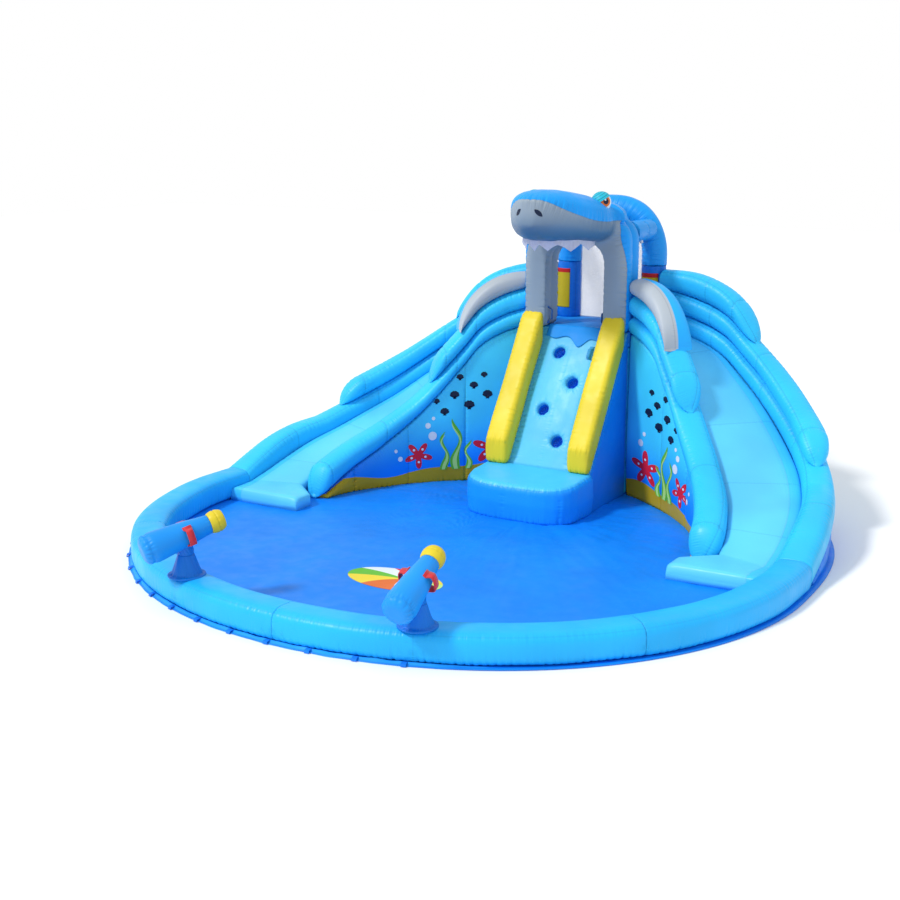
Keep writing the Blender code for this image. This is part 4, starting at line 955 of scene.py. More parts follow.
def make_inner_tubes():
    def low_bottom(share):
        return inner_rail_z(share) - inner_height(share)

    def high_bottom(share):
        return inner_rail_z(share) - LAP

    runs = (
        ("low", 1.0, low_bottom, inner_height, (0.30, 0.62)),
        ("high", HIGH_TUBE_END, high_bottom, MID_TUBE_HEIGHT + LAP, (0.5,)),
    )
    lines = (
        (128, 0.005, 0.06, 0.0),
        (52, 0.005, 0.06, 0.0015),
        (232, 0.0055, 0.06, 0.0),
        (308, 0.005, 0.05, 0.0),
    )
    for side_name, flip in SIDE_PAIR:
        for name, end, bottom, height, baffles in runs:
            shape = (0.0, INNER_TUBE_WIDTH, bottom, height, TUBE_ROUNDNESS, True)
            rings = sided(tube_rings(INNER, 0.0, end, *shape), flip)
            piece = skin_over(f"pool_wall_{name}_{side_name}", rings, "sky")
            rounds = [(1 - (CLOSE_STEPS + 1) / len(rings), *END_SEAM)]
            rounds += [(share, *BAFFLE) for share in baffles]
            seams = seams_on(rings, lines, rounds)
            inflate(piece, seams, 0.005, 23.0 + end, [f"inner_tube_{name}_{side_name}"])
        make_fin(side_name, flip)


def make_fin(side_name, flip):
    """The grey crest on the inner tubes, which thins out as they drop."""
    high = inner_rail_z(0.0) + MID_TUBE_HEIGHT + FIN_RISE
    low = inner_rail_z(FIN_END) + MID_TUBE_HEIGHT
    rings = []
    for t in shares(60):
        share = FIN_END * math.sin(math.pi / 2 * t)
        bottom = inner_rail_z(share) + MID_TUBE_HEIGHT - LAP
        arch = math.sqrt(max(1 - (share / FIN_END) ** 2, 0.0))
        height = max(mix(low, high, arch) - bottom, 0.02)
        shape = section(INNER_TUBE_WIDTH, height, TUBE_ROUNDNESS)
        rings.append([raised(INNER.beside(share, side), bottom + rise) for side, rise in shape])
    rings = sided(rings, flip)
    lines = ((98, 0.003, 0.05, 0.0006), (222, 0.005, 0.04, 0.0), (318, 0.005, 0.04, 0.0))
    first, last = (int(turn / 360 * SIDES) for turn in (98, 250))

    def border(vertex):
        k = vertex.index % SIDES
        return min(k - first, last - k) * 0.012

    piece = skin_over(f"fin_{side_name}", rings, "fin")
    seams = seams_on(rings, lines)
    inflate(piece, seams, 0.004, 31.0, [f"side_fin_{side_name}"], border)


def panel_spot(share, height_share):
    """A point of the printed panel below the inner tubes, on the right side."""
    top = inner_rail_z(share) - inner_height(share)
    swell = PANEL_SWELL * math.sin(math.pi * clamp(height_share)) ** 0.7
    gore = abs(((share * INNER.length / GORE_PITCH) % 1.0) - 0.5) * 2
    swell *= 0.55 + 0.45 * (1 - gore**4)
    offset = -INNER_TUBE_WIDTH / 2 + PANEL_INSET - swell
    return raised(INNER.beside(share, offset), mix(SHEET_TOP, top, height_share))


GORE_PITCH = 0.52
PANEL_ROWS = 44
SKIRT_ROWS = 30


def sand_height(run):
    """The top of the sand-coloured band along the panels' foot."""
    return 0.135 + 0.030 * math.sin(run * 3.3 + 0.6) + 0.014 * math.sin(run * 9.0)


def make_bodies():
    """The slides' bodies: printed panels to the pool, plain skirts outside."""
    steps = (1 - k / 1000 for k in range(1001))
    end = next(share for share in steps if INNER.spot(share).y > BODY_FRONT_Y + POOL_Y)
    stations = shares_between(INNER, 0.0, end)
    right = []
    for share in stations:
        ring = [panel_spot(share, t) for t in shares(PANEL_ROWS)]
        top = bed_z(share) - BED_THICK - 0.002
        under = outer_rail_z(share) - outer_height(share)
        inner = INNER.beside(share, INNER_TUBE_WIDTH / 2 - 0.01)
        outer = OUTER.beside(share, -outer_width(share) + 0.01)
        ring += [raised(inner, ring[-1].z), raised(inner, top), raised(outer, top), raised(outer, under)]
        for t in shares(SKIRT_ROWS):
            swell = 0.016 * math.sin(math.pi * t) ** 0.7
            ring.append(raised(OUTER.beside(share, -SKIRT_INSET + swell), mix(under, SHEET_TOP, t)))
        right.append(ring)
    count = len(right[0])
    sand = [sand_height(share * INNER.length) for share in stations]

    def border(vertex):
        inside = vertex.index % count <= PANEL_ROWS
        return sand[vertex.index // count] - vertex.co.z if inside else -1.0

    for side_name, flip in SIDE_PAIR:
        rings = sided(right, flip)
        piece = skin_over(f"slide_body_skin_{side_name}", rings, "panel")
        seams = [([ring[0] for ring in rings], 0.007, 0.05, 0.0)]
        for row in (PANEL_ROWS, PANEL_ROWS + 5, -1):
            seams.append(([ring[row] for ring in rings], 0.007, 0.06, 0.0))
        for k in range(1, int(end * INNER.length / GORE_PITCH) + 1):
            place = k * GORE_PITCH / INNER.length / end
            ring = rings[int(round(place * (len(rings) - 1)))]
            seams.append((ring[: PANEL_ROWS + 1], 0.0045, 0.045, 0.005))
            seams.append((ring[PANEL_ROWS + 5 :], 0.0045, 0.045, 0.005))
        inflate(piece, seams, 0.006, 41.0, [f"slide_body_{side_name}"], border)


BED_COLUMNS = 36
BED_BORDER = 0.84


def bed_row(inner, outer, top, bottom):
    """One row of a bed: its top from wall to wall, then its flat underside."""
    row = [raised(inner, bottom)]
    for t in shares(BED_COLUMNS):
        dip = 0.020 * math.exp(-min(t, 1 - t) / 0.035)
        row.append(raised(inner.lerp(outer, t), top - dip))
    row.append(raised(outer, bottom))
    return row


def make_beds():
    """The sliding beds, whose lower ends run out as lips into the pool."""

    def edges(share):
        inner = INNER.beside(share, INNER_TUBE_WIDTH / 2 - 0.004)
        return inner, OUTER.beside(share, -outer_width(share) + 0.004)

    right = []
    for share in shares_between(INNER, 0.0, 1.0):
        top = bed_z(share)
        right.append(bed_row(*edges(share), top, top - BED_THICK))
    front = EXIT_FRONT_Y + POOL_Y
    tip, side = edges(1.0)
    for t in shares(30)[1:]:
        inner = Vector((mix(tip.x, EXIT_INNER_X, clamp(t / 0.5)), mix(tip.y, front, t)))
        outer = Vector((side.x, mix(side.y, front, t)))
        drop = (1 - math.sqrt(max(1 - clamp((t - 0.88) / 0.12) ** 2, 0.0))) * 0.06
        right.append(bed_row(inner, outer, EXIT_Z - drop, SHEET_TOP))
    first = 1 + BED_BORDER * BED_COLUMNS
    count = len(right[0])
    for side_name, flip in SIDE_PAIR:
        rows = sided(right, flip)
        piece = skin_over(f"slide_bed_skin_{side_name}", rows, "bed")
        seams = [
            ([row[1] for row in rows], 0.004, 0.04, 0.0),
            ([row[BED_COLUMNS + 1] for row in rows], 0.004, 0.04, 0.0),
            ([row[int(first)] for row in rows], 0.0022, 0.03, 0.003),
        ]
        for share in (0.16, 0.36, 0.56, 0.76):
            row = rows[int(share * (len(rows) - 1))]
            seams.append((row[1 : BED_COLUMNS + 2], 0.002, 0.03, 0.0015))
        inflate(piece, seams, 0.005, 53.0, [f"slide_bed_{side_name}"],
                lambda vertex: (vertex.index % count - first) * 0.016)


# Tower, climbing wall and landing step

WALL_FOOT_Y = 1.10
WALL_TOP_Y = 1.75
WALL_FOOT_Z = 0.33
WALL_CROWN = 0.035
WALL_FIELD_HALF = 0.262
FOOT_HOLE_COUNT = 4
FOOT_HOLE_RADIUS = 0.058
FOOT_HOLE_FIRST = 0.225
FOOT_HOLE_STEP = 0.253
FOOT_HOLE_SIDE = 0.095
RAIL_INNER = 0.268
RAIL_FRONT_Y = 1.03
RAIL_FRONT_RISE = 0.19
RAIL_TOP_Z = 1.505
RAIL_THICK = 0.155
ARCH_FRONT_Y = 1.672
ARCH_GREY_DEPTH = 0.125
ARCH_BLUE_DEPTH = 0.13
ARCH_BACK_Y = ARCH_FRONT_Y + ARCH_GREY_DEPTH + ARCH_BLUE_DEPTH
ARCH_INNER_HALF = 0.262
ARCH_SPRING_Z = 1.90
ARCH_CROWN_Z = 2.09
ARCH_HEAD_Z = 2.25
ARCH_HEAD_HALF = 0.425
LEG_EDGE_X = 0.455
HOOD_NODES = ("shark_head_top", "arch_rim", "shark_jaw", "arch_front")
HEAD_NOSE_Y = 0.83
HEAD_HALF = 0.43
HEAD_POINT = 1.7
HEAD_TAPER = 0.30
JAW_ROUND = 0.62
POST_Y = 2.385
POST_TOP_Z = 1.84
REAR_SPRING_Z = 1.905
REAR_CROWN_Z = 2.305
REAR_POWER = 2.3
BEAM_X = 0.36
BEAM_Z = 2.14
BEAM_RADIUS = 0.088
STEP_HALF = 0.485
STEP_FRONT_Y = 0.60
STEP_EDGE_Z = 0.285
STEP_SQUARENESS = 3.4


def at(x, y, z):
    """A place given from the pool's middle."""
    return Vector((x, y + POOL_Y, z))


def slope():
    """The climbing wall's plane: its foot, a unit vector up it, its normal and length."""
    foot = at(0.0, WALL_FOOT_Y, WALL_FOOT_Z)
    top = at(0.0, WALL_TOP_Y, DECK_TOP)
    up = (top - foot).normalized()
    return foot, up, Vector((0.0, -up.z, up.y)), (top - foot).length


def foot_holes():
    foot, up, _, _ = slope()
    for k in range(FOOT_HOLE_COUNT):
        side = FOOT_HOLE_SIDE if k % 2 == 0 else -FOOT_HOLE_SIDE
        yield foot + up * (FOOT_HOLE_FIRST + FOOT_HOLE_STEP * k) + Vector((side, 0.0, 0.0))


def face_rise(x, run, length):
    """How far the climbing face swells at a place across it and up it."""
    inside = max(1 - (x / WALL_FIELD_HALF) ** 2, 0.0)
    return WALL_CROWN * (inside * math.sin(math.pi * clamp(run / length))) ** 0.7


def make_wall():
    piece = remeshed("climbing_wall_skin", ["climbing_wall"], "wall", 0.011, 6, 0.002)
    foot, up, normal, length = slope()
    holes = list(foot_holes())

    def line_up(x):
        runs = [length * k / 60 for k in range(61)]
        return [foot + up * run + normal * face_rise(x, run, length) + EAST * x for run in runs]

    seams = []
    for side in (-1, 1):
        seams.append((line_up(side * (WALL_FIELD_HALF - 0.004)), 0.010, 0.06, 0.0))
        seams.append((line_up(side * TOWER_HALF), 0.008, 0.06, 0.0))
        corner = [at(side * TOWER_HALF, WALL_FOOT_Y, z / 20) for z in range(1, 7)]
        seams.append((corner, 0.006, 0.05, 0.0))
    seams.append((line_up(0.0), 0.002, 0.03, 0.003))
    for spot in holes:
        middle = spot + normal * face_rise(spot.x, (spot - foot).dot(up), length)
        rim = round_ring(middle, EAST, up, FOOT_HOLE_RADIUS + 0.004, 24, True)
        seams.append((rim, 0.007, 0.035, 0.0))

    def border(vertex):
        point = vertex.co
        for spot in holes:
            offset = point - spot
            across = (offset - normal * offset.dot(normal)).length
            if across < FOOT_HOLE_RADIUS + 0.02:
                under = -(point - foot).dot(normal) - 0.006
                return min(under, FOOT_HOLE_RADIUS + 0.012 - across)
        return abs(point.x) - (TOWER_HALF - 0.012)

    inflate(piece, seams, 0.004, 61.0, ["climbing_wall"], border)
    make_pocket_folds(holes)


def make_pocket_folds(holes):
    """The gathered cloth at the back of each foot hole."""
    _, up, normal, _ = slope()
    for order, spot in enumerate(holes):
        rings = []
        for level in shares(12):
            reach = FOOT_HOLE_RADIUS * 0.90 * (1 - level) + 0.001
            ring = []
            for angle in angles(72):
                pleat = 0.007 * math.sin(9 * angle + order) * math.sin(math.pi * (1 - level))
                deep = 0.036 + 0.014 * level**2 - pleat
                around = up * math.sin(angle) + EAST * math.cos(angle)
                ring.append(spot + around * reach - normal * deep)
            rings.append(ring)
        piece = skin_over(f"foot_pocket_{order + 1}", rings, "pocket", capped=False)
        face_out(piece, normal)
        dress(piece)


def make_rails():
    """Yellow bolsters up both sides of the climbing wall, fuller in the middle."""
    foot, up, normal, length = slope()
    ends = (
        (RAIL_FRONT_Y, WALL_FOOT_Z + RAIL_FRONT_RISE),
        (RAIL_FRONT_Y, WALL_FOOT_Z + 0.01),
        (ARCH_FRONT_Y - 0.005, RAIL_TOP_Z),
        (ARCH_FRONT_Y - 0.07, RAIL_TOP_Z - 0.01),
    )
    for side_name, flip in SIDE_PAIR:
        node = f"climb_rail_{side_name}"
        piece = remeshed(f"rail_{side_name}", [node], "yellow", 0.010, 10, 0.004)
        seams = []
        for side in (RAIL_INNER, TOWER_HALF):
            for deep in (0.0, RAIL_THICK):
                start = foot + normal * deep + EAST * flip * side
                seams.append(([start + up * (length * k / 64) for k in range(-4, 71)], 0.006, 0.05, 0.0))
        for y, z in ends:
            across = [at(flip * mix(RAIL_INNER, TOWER_HALF, t), y, z) for t in shares(12)]
            seams.append((across, 0.009, 0.07, 0.0))
        inflate(piece, seams, 0.006, 67.0 + flip, [node])


def step_edge(count=120):
    """The landing step's outline, from its right back corner round to the left."""
    heart = WALL_FOOT_Y - 0.12
    points = [(STEP_HALF, WALL_FOOT_Y)]
    for k in range(count + 1):
        angle = math.pi * k / count
        x = STEP_HALF * signed_power(math.cos(angle), 2 / STEP_SQUARENESS)
        y = heart - (heart - STEP_FRONT_Y) * signed_power(math.sin(angle), 2 / STEP_SQUARENESS)
        points.append((x, y))
    points.append((-STEP_HALF, WALL_FOOT_Y))
    return points


def step_top(y):
    """The height of the landing step's top edge, which climbs to the wall."""
    share = (y - STEP_FRONT_Y) / (WALL_FOOT_Y - STEP_FRONT_Y)
    return STEP_EDGE_Z + (WALL_FOOT_Z - STEP_EDGE_Z) * clamp(share) ** 0.8


def make_step():
    piece = remeshed("landing_step_skin", ["landing_step"], "step", 0.011, 10, 0.004)
    edge = step_edge()
    top = [at(x * 0.965, y + 0.02, step_top(y) - 0.012) for x, y in edge]
    low = [at(x * 0.98, y + 0.012, 0.02) for x, y in edge]
    seams = [(top, 0.007, 0.055, 0.004), (low, 0.007, 0.05, 0.0)]
    for k in (30, 62, 92):
        seams.append(([at(*edge[k], z / 50) for z in range(1, 12)], 0.003, 0.04, 0.003))
    inflate(piece, seams, 0.006, 71.0, ["landing_step"],
            lambda vertex: vertex.co.z - (step_top(vertex.co.y - POOL_Y) - 0.016))


def make_core_and_deck():
    piece = remeshed("tower_core_skin", ["tower_core"], "sky", 0.016, 6, 0.002)
    back = POST_Y + 0.085
    uprights = [(x, y, 0.008, 0.07, 0.0) for x in (-TOWER_HALF, TOWER_HALF) for y in (WALL_TOP_Y, back)]
    uprights += [(x, back, 0.004, 0.05, 0.003) for x in (-0.15, 0.15)]
    seams = [([at(x, y, z / 20) for z in range(1, 25)], *kind) for x, y, *kind in uprights]
    for z in (0.03, DECK_TOP - 0.125):
        seams.append(([at(x / 20, back, z) for x in range(-9, 10)], 0.008, 0.07, 0.0))
    inflate(piece, seams, 0.006, 73.0, ["tower_core"])
    deck = remeshed("deck_skin", ["deck"], "deck", 0.010, 4, 0.001)
    corners = ((1, WALL_TOP_Y), (1, POST_Y), (-1, POST_Y), (-1, WALL_TOP_Y), (1, WALL_TOP_Y))
    edge = [at(side * TOWER_HALF, y, DECK_TOP) for side, y in corners]
    inflate(deck, [(edge, 0.006, 0.08, 0.0)], 0.004, 79.0, ["deck"])
    make_deck_flap()


FLAP_HALF = 0.255
FLAP_LAID = 0.30
FLAP_DROP = 0.10
FLAP_DIP = 0.07
FLAP_DIP_X = 0.07


def make_deck_flap():
    """The deck's cover sheet, which laps down over the top of the climbing face."""
    foot, up, normal, length = slope()
    verts = []
    for t in shares(40):
        for u in shares(64):
            x = mix(-FLAP_HALF, FLAP_HALF, u)
            wave = 0.012 * math.sin(x * 31.0 + 0.5)
            drop = FLAP_DROP + FLAP_DIP * math.exp(-(((x - FLAP_DIP_X) / 0.06) ** 2)) + wave
            reach = mix(FLAP_LAID, -drop, t)
            lift = 0.0
            if reach > 0:
                spot = at(x, WALL_TOP_Y + reach, DECK_TOP + 0.006)
            else:
                run = length + reach
                spot = foot + up * run + EAST * x
                lift = face_rise(x, run, length)
            ruck = noise.noise(Vector((x * 9.0, reach * 5.0, 3.0)))
            out = HIGH.lerp(normal, clamp(-reach / 0.05))
            verts.append(spot + out * (0.007 + lift + 0.005 * max(ruck, 0.0)))
    piece = open_piece("deck_flap", verts, grid_faces(40, 64), "deck", Vector((0.0, -0.4, 1.0)), 0.002, 1)
    dress(piece)


# Arch, head and rear frame


# The arch's edges: the leg's place and top, the crown's place, and the arc's
# low and high end and count of steps
OUTER_ARC = (ARCH_SPRING_Z + 0.16, ARCH_HEAD_Z, 14)
OUTER_EDGE = (TOWER_HALF, ARCH_SPRING_Z + 0.02, ARCH_HEAD_HALF - 0.10, *OUTER_ARC)
INNER_EDGE = (ARCH_INNER_HALF, ARCH_SPRING_Z, 0.0, ARCH_SPRING_Z, ARCH_CROWN_Z, 24)

# The head's colour line and its chin, by share from the nose to the arch
HEAD_LINE = (
    (0.0, 2.413),
    (0.04, 2.418),
    (0.12, 2.40),
    (0.3, 2.35),
    (0.6, 2.285),
    (1.0, 2.25),
    (1.3, 2.25),
)
HEAD_CHIN = (
    (0.0, 2.27),
    (0.05, 2.185),
    (0.15, 2.14),
    (0.4, 2.11),
    (0.8, 2.075),
    (1.0, 2.07),
)


def head_half(share):
    back = 1 - clamp(share)
    half = HEAD_HALF * (1 - back**HEAD_POINT) ** (1 / HEAD_POINT)
    return half - HEAD_TAPER * max(share - 1, 0.0)


def head_line_z(share):
    return smooth_through(HEAD_LINE, share)


def arch_line(y, leg_x, leg_top, crown_x, arc_low, arc_high, count):
    """An edge of the arch at one depth, right side, from the deck up to its crown."""
    points = [at(leg_x, y, mix(DECK_TOP, leg_top, t)) for t in shares(20)]
    for k in range(1, count + 1):
        angle = math.pi / 2 * k / count
        points.append(at(mix(crown_x, leg_x, math.cos(angle)), y, mix(arc_low, arc_high, math.sin(angle))))
    return points


def hood_border(point):
    """Over 0 where the hood is blue: above the head's colour line, and outside a
    slant through the arch's legs from their outer front to their inner back edge."""
    x, y, z = abs(point.x), point.y - POOL_Y, point.z
    share = head_share(y)
    above = z - head_line_z(clamp(share, 0.0, 1.3)) + 0.022 * math.sin(math.pi * clamp(share)) ** 2
    above -= 0.028 * math.exp(-((share / 0.13) ** 2))
    if y < ARCH_FRONT_Y:
        return above
    depth = ARCH_GREY_DEPTH + ARCH_BLUE_DEPTH
    edge = LEG_EDGE_X - 0.135 * max((z - 1.86) / 0.38, 0.0) ** 1.5
    slant = (x - edge) * depth + (y - ARCH_FRONT_Y - 0.015) * (edge - ARCH_INNER_HALF)
    return max(above, slant / 0.30)


def shape_head(piece):
    """Draws the chin back, and the head in where it meets the arch."""
    for vertex in piece.data.vertices:
        x, y, z = vertex.co
        share = head_share(y - POOL_Y)
        waist = eased((share - 0.66) / 0.29) * (1 - eased((share - 0.97) / 0.06))
        chin = eased((2.26 - z) / 0.14) * eased(1 - share / 0.5)
        x -= math.copysign(min(0.055 * waist, abs(x)), x)
        x *= 1 - 0.10 * chin
        across = (abs(x) - 0.36) / 0.115
        bulge = max(1 - across**2, 0.0) * eased((2.12 - z) / 0.2) * eased((1.04 - share) / 0.06)
        vertex.co = Vector((x, y + 0.055 * chin - 0.020 * bulge, z))
    piece.data.update()


def head_share(y):
    """How far back along the head a place is: 0 at the nose, 1 at the arch."""
    return (y - HEAD_NOSE_Y) / (ARCH_FRONT_Y - HEAD_NOSE_Y)


def cut_along(bm, border):
    """Cuts the faces where border(point) changes sign. Gives the cut's points."""
    value = {vert: border(vert.co) for vert in bm.verts}
    cut = []
    for edge in list(bm.edges):
        low, high = edge.verts
        if value[low] * value[high] >= 0:
            continue
        if value[low] > 0:
            low, high = high, low
        near, far = 0.0, 1.0
        for _ in range(9):
            middle = (near + far) / 2
            if border(low.co.lerp(high.co, middle)) < 0:
                near = middle
            else:
                far = middle
        _, vert = bmesh.utils.edge_split(edge, low, clamp((near + far) / 2, 0.03, 0.97))
        cut.append(vert)
    bmesh.ops.connect_verts(bm, verts=cut)
    return cut


def walked(cut):
    """The lines that a cut's points make, each walked from one end to the other."""
    left = dict.fromkeys(cut)
    lines = []

    def ahead(vert):
        for edge in vert.link_edges:
            other = edge.other_vert(vert)
            if other in left:
                del left[other]
                return other
        return None

    while left:
        start = next(iter(left))
        del left[start]
        line = [start]
        for forward in (True, False):
            here = ahead(start)
            while here is not None:
                line.insert(len(line) if forward else 0, here)
                here = ahead(here)
        lines.append([vert.co.copy() for vert in line])
    return lines


def make_head():
    """One smooth hood, the head and the arch that carries it, in blue and grey."""
    hood = remeshed("head_and_rim", HOOD_NODES, "head", 0.0088, 42, 0.006)
    shape_head(hood)
    bm = bmesh.new()
    bm.from_mesh(hood.data)
    cut = cut_along(bm, hood_border)
    edge = [walk for walk in walked(cut) if len(walk) > 12]
    on_cut = set(cut)
    for face in bm.faces:
        heart = Vector()
        loose = [vert.co for vert in face.verts if vert not in on_cut] or [face.calc_center_median()]
        for spot in loose:
            heart += spot / len(loose)
        face.material_index = 0 if hood_border(heart) > 0 else 1
    bm.to_mesh(hood.data)
    bm.free()
    hood.data.materials.append(LOOKS["jaw"])
    seams = []
    for line in edge:
        for on_head, part in groupby(line, key=lambda spot: spot.y < ARCH_FRONT_Y + POOL_Y - 0.03):
            part = list(part)
            if len(part) > 2:
                seams.append((part, *(HEAD_SEAM if on_head else ARCH_SEAM)))
    for flip in (-1, 1):
        front = ARCH_FRONT_Y + 0.012
        for y, shape in ((ARCH_BACK_Y, OUTER_EDGE), (ARCH_BACK_Y, INNER_EDGE), (front, INNER_EDGE)):
            seams.append((sided([arch_line(y, *shape)], flip)[0], 0.006, 0.05, 0.0))
    sew(hood, seams, 0.005, 83.0, 0.052)
    activate(hood)
    bpy.ops.object.mode_set(mode="EDIT")
    bpy.ops.mesh.select_all(action="SELECT")
    bpy.ops.mesh.separate(type="MATERIAL")
    bpy.ops.object.mode_set(mode="OBJECT")
    for part in list(bpy.context.selected_objects):
        part.data.shade_smooth()
        if part.data.materials[part.data.polygons[0].material_index] == LOOKS["jaw"]:
            jaw = part
        else:
            head = part
    head.name = "head_and_rim"
    jaw.name = "jaw_and_arch"
    dress(head, ["shark_head_top", "arch_rim"])
    dress(jaw, ["shark_jaw", "arch_front"])
    make_teeth()
    make_nostrils(jaw)
    make_eyes()


TEETH_HALF = 0.275
TEETH_FRONT_Y = 1.08
TEETH_BACK_Y = 1.45
TEETH_DROP = 0.088
TEETH_TUCK = 0.03
TEETH_POINTS = (0.75, 1.0, 0.8, 0.95, 1.0, 0.7)


def make_teeth():
    """A hanging strip whose lower edge is cut into soft points."""
    columns = 280
    rows = 12
    verts = []
    length = 0.0
    height = 0.0
    last = None
    for share in shares(columns):
        angle = math.pi * share
        x = TEETH_HALF * math.cos(angle)
        y = TEETH_BACK_Y - (TEETH_BACK_Y - TEETH_FRONT_Y) * abs(math.sin(angle)) ** 0.8
        top = jaw_underside(x, y) + TEETH_TUCK
        place = (share + 0.025 * math.sin(share * 11.0)) * len(TEETH_POINTS)
        deep = TEETH_POINTS[min(max(int(place), 0), len(TEETH_POINTS) - 1)]
        wave = deep * (1 - abs(2 * (place % 1.0) - 1)) ** 1.3
        drop = TEETH_DROP * mix(0.34, 1.0, wave) + TEETH_TUCK
        spot = Vector((x, y))
        length += (spot - last).length if last else 0.0
        last = spot
        height = max(height, drop)
        outward = (spot - Vector((0.0, TEETH_BACK_Y))).normalized()
        for t in shares(rows):
            ruck = noise.noise(Vector((share * 60, t * 3, 0)))
            flared = spot + outward * (0.010 * t * math.sin(share * 41.0) + 0.004 * ruck)
            verts.append(at(flared.x, flared.y, top - drop * t))
    piece = open_piece("teeth_cloth", verts, grid_faces(columns, rows), "teeth", -NORTH, 0.003)
    dress(piece, ["teeth_strip"])


def jaw_underside(x, y):
    share = head_share(y)
    across = min(abs(x) / head_half(share), 1.0) ** (1 / JAW_ROUND)
    drop = math.sqrt(1 - across**2) ** JAW_ROUND
    return mix(head_line_z(share), smooth_through(HEAD_CHIN, share), drop)


def surface_of(piece):
    """A lookup of the nearest place on a piece's skin."""
    mesh = piece.data
    return BVHTree.FromPolygons(
        [vertex.co for vertex in mesh.vertices], [polygon.vertices for polygon in mesh.polygons]
    )


def laid_on(surface, point, lift):
    spot, normal, _, _ = surface.find_nearest(point)
    return spot + normal * lift


def fan_print(name, surface, spot, outline, look, lift=0.0018, levels=5):
    """A print of one colour, laid on a skin as a fan of rings round its middle.

    spot(u, v) gives a place near the skin, for u across the print and v up it.
    """
    verts = [laid_on(surface, spot(0.0, 0.0), lift)]
    for k in range(1, levels + 1):
        verts += [laid_on(surface, spot(u * k / levels, v * k / levels), lift) for u, v in outline]
    outward = surface.find_nearest(spot(0.0, 0.0))[1]
    piece = open_piece(name, verts, fan_faces(len(outline), levels), look, outward)
    dress(piece)


def oval(width, height, count=40, turn=0.0, power=1.0):
    """An oval outline. A power over 1 draws its ends out to points."""
    points = []
    for angle in angles(count):
        u = width * math.cos(angle)
        v = height * signed_power(math.sin(angle), power)
        points.append((u * math.cos(turn) - v * math.sin(turn), u * math.sin(turn) + v * math.cos(turn)))
    return points


NOSTRIL_X = 0.085
NOSTRIL_Y = 0.86
NOSTRIL_Z = 2.345


def make_nostrils(jaw):
    surface = surface_of(jaw)
    for side_name, side in SIDE_PAIR:
        centre = at(side * NOSTRIL_X, NOSTRIL_Y, NOSTRIL_Z)
        right = Vector((1.0, 0.35 * side, 0.0)).normalized()
        shape = oval(0.040, 0.017, turn=-side * math.radians(40), power=1.6)

        def spot(u, v):
            return centre + right * u + HIGH * v

        fan_print(f"nostril_{side_name}", surface, spot, shape, "navy", 0.0016, 6)


EYE_X = 0.292
EYE_Y = 1.52
EYE_Z = 2.399
EYE_RADIUS = 0.078


def make_eyes():
    """Padded eyes: a white ball under a striped lid, with an iris and a pupil."""
    for side_name, side in SIDE_PAIR:
        centre = at(side * EYE_X, EYE_Y, EYE_Z)
        look = Vector((side * 0.80, -0.60, 0.12)).normalized()
        # The glint is a painted highlight: a small white cap on the ball, turned up and forward from the
        # pupil, in place of a reflection of the light.
        painted_highlight = (look + Vector((0.0, -0.12, 0.20))).normalized()
        lid_pole = Vector((-side * 0.45, -0.25, 0.86)).normalized()
        parts = (
            ("ball", look, -0.003, 180, "white", 30),
            ("iris", look, -0.0015, 33, "orange", 30),
            ("pupil", look, -0.0005, 17, "navy", 30),
            ("painted_highlight", painted_highlight, 0.0003, 6, "white", 30),
            ("lid", lid_pole, 0.004, 82, "teal", 60),
        )
        for part, pole, lift, spread, colour, rows in parts:
            name = f"eye_{part}_{side_name}"
            piece = cap_of_ball(name, centre, pole, EYE_RADIUS + lift, spread, colour, rows)
            if part == "ball":
                dress(piece, [f"shark_eye_{side_name}"])
                continue
            if part == "lid":
                tint(piece, lambda vertex: lid_stripe(math.degrees(lid_pole.angle(vertex.co - centre))))
            dress(piece)


def lid_stripe(turn):
    """Over 0 on the lid's dark stripes, which ring it every 17 degrees."""
    return abs((turn / 17.0) % 1.0 - 0.5) * 0.03 - 0.0125


def cap_of_ball(name, centre, pole, radius, spread, look, rows):
    """The part of a ball within an angle of one of its poles."""
    side = pole.orthogonal().normalized()
    up = pole.cross(side)
    verts = [centre + pole * radius]
    for row in range(1, rows + 1):
        turn = math.radians(min(spread, 179.5)) * row / rows
        for angle in angles(48):
            way = pole * math.cos(turn) + (side * math.cos(angle) + up * math.sin(angle)) * math.sin(turn)
            verts.append(centre + way * radius)
    return open_piece(name, verts, fan_faces(48, rows), look, pole)


def round_ring(centre, across, up, radius, sides=SIDES, closed=False):
    return [centre + (across * math.cos(a) + up * math.sin(a)) * radius for a in angles(sides, closed)]


def rear_arch_path():
    power = 2 / REAR_POWER
    legs = [at(POST_X, POST_Y, mix(POST_TOP_Z + 0.002, REAR_SPRING_Z, k / 6)) for k in range(6)]
    path = list(legs)
    for k in range(121):
        angle = math.pi * k / 120
        x = POST_X * signed_power(math.cos(angle), power)
        z = REAR_SPRING_Z + (REAR_CROWN_Z - REAR_SPRING_Z) * signed_power(math.sin(angle), power)
        path.append(at(x, POST_Y, z))
    return path + sided([legs[::-1]], -1)[0]


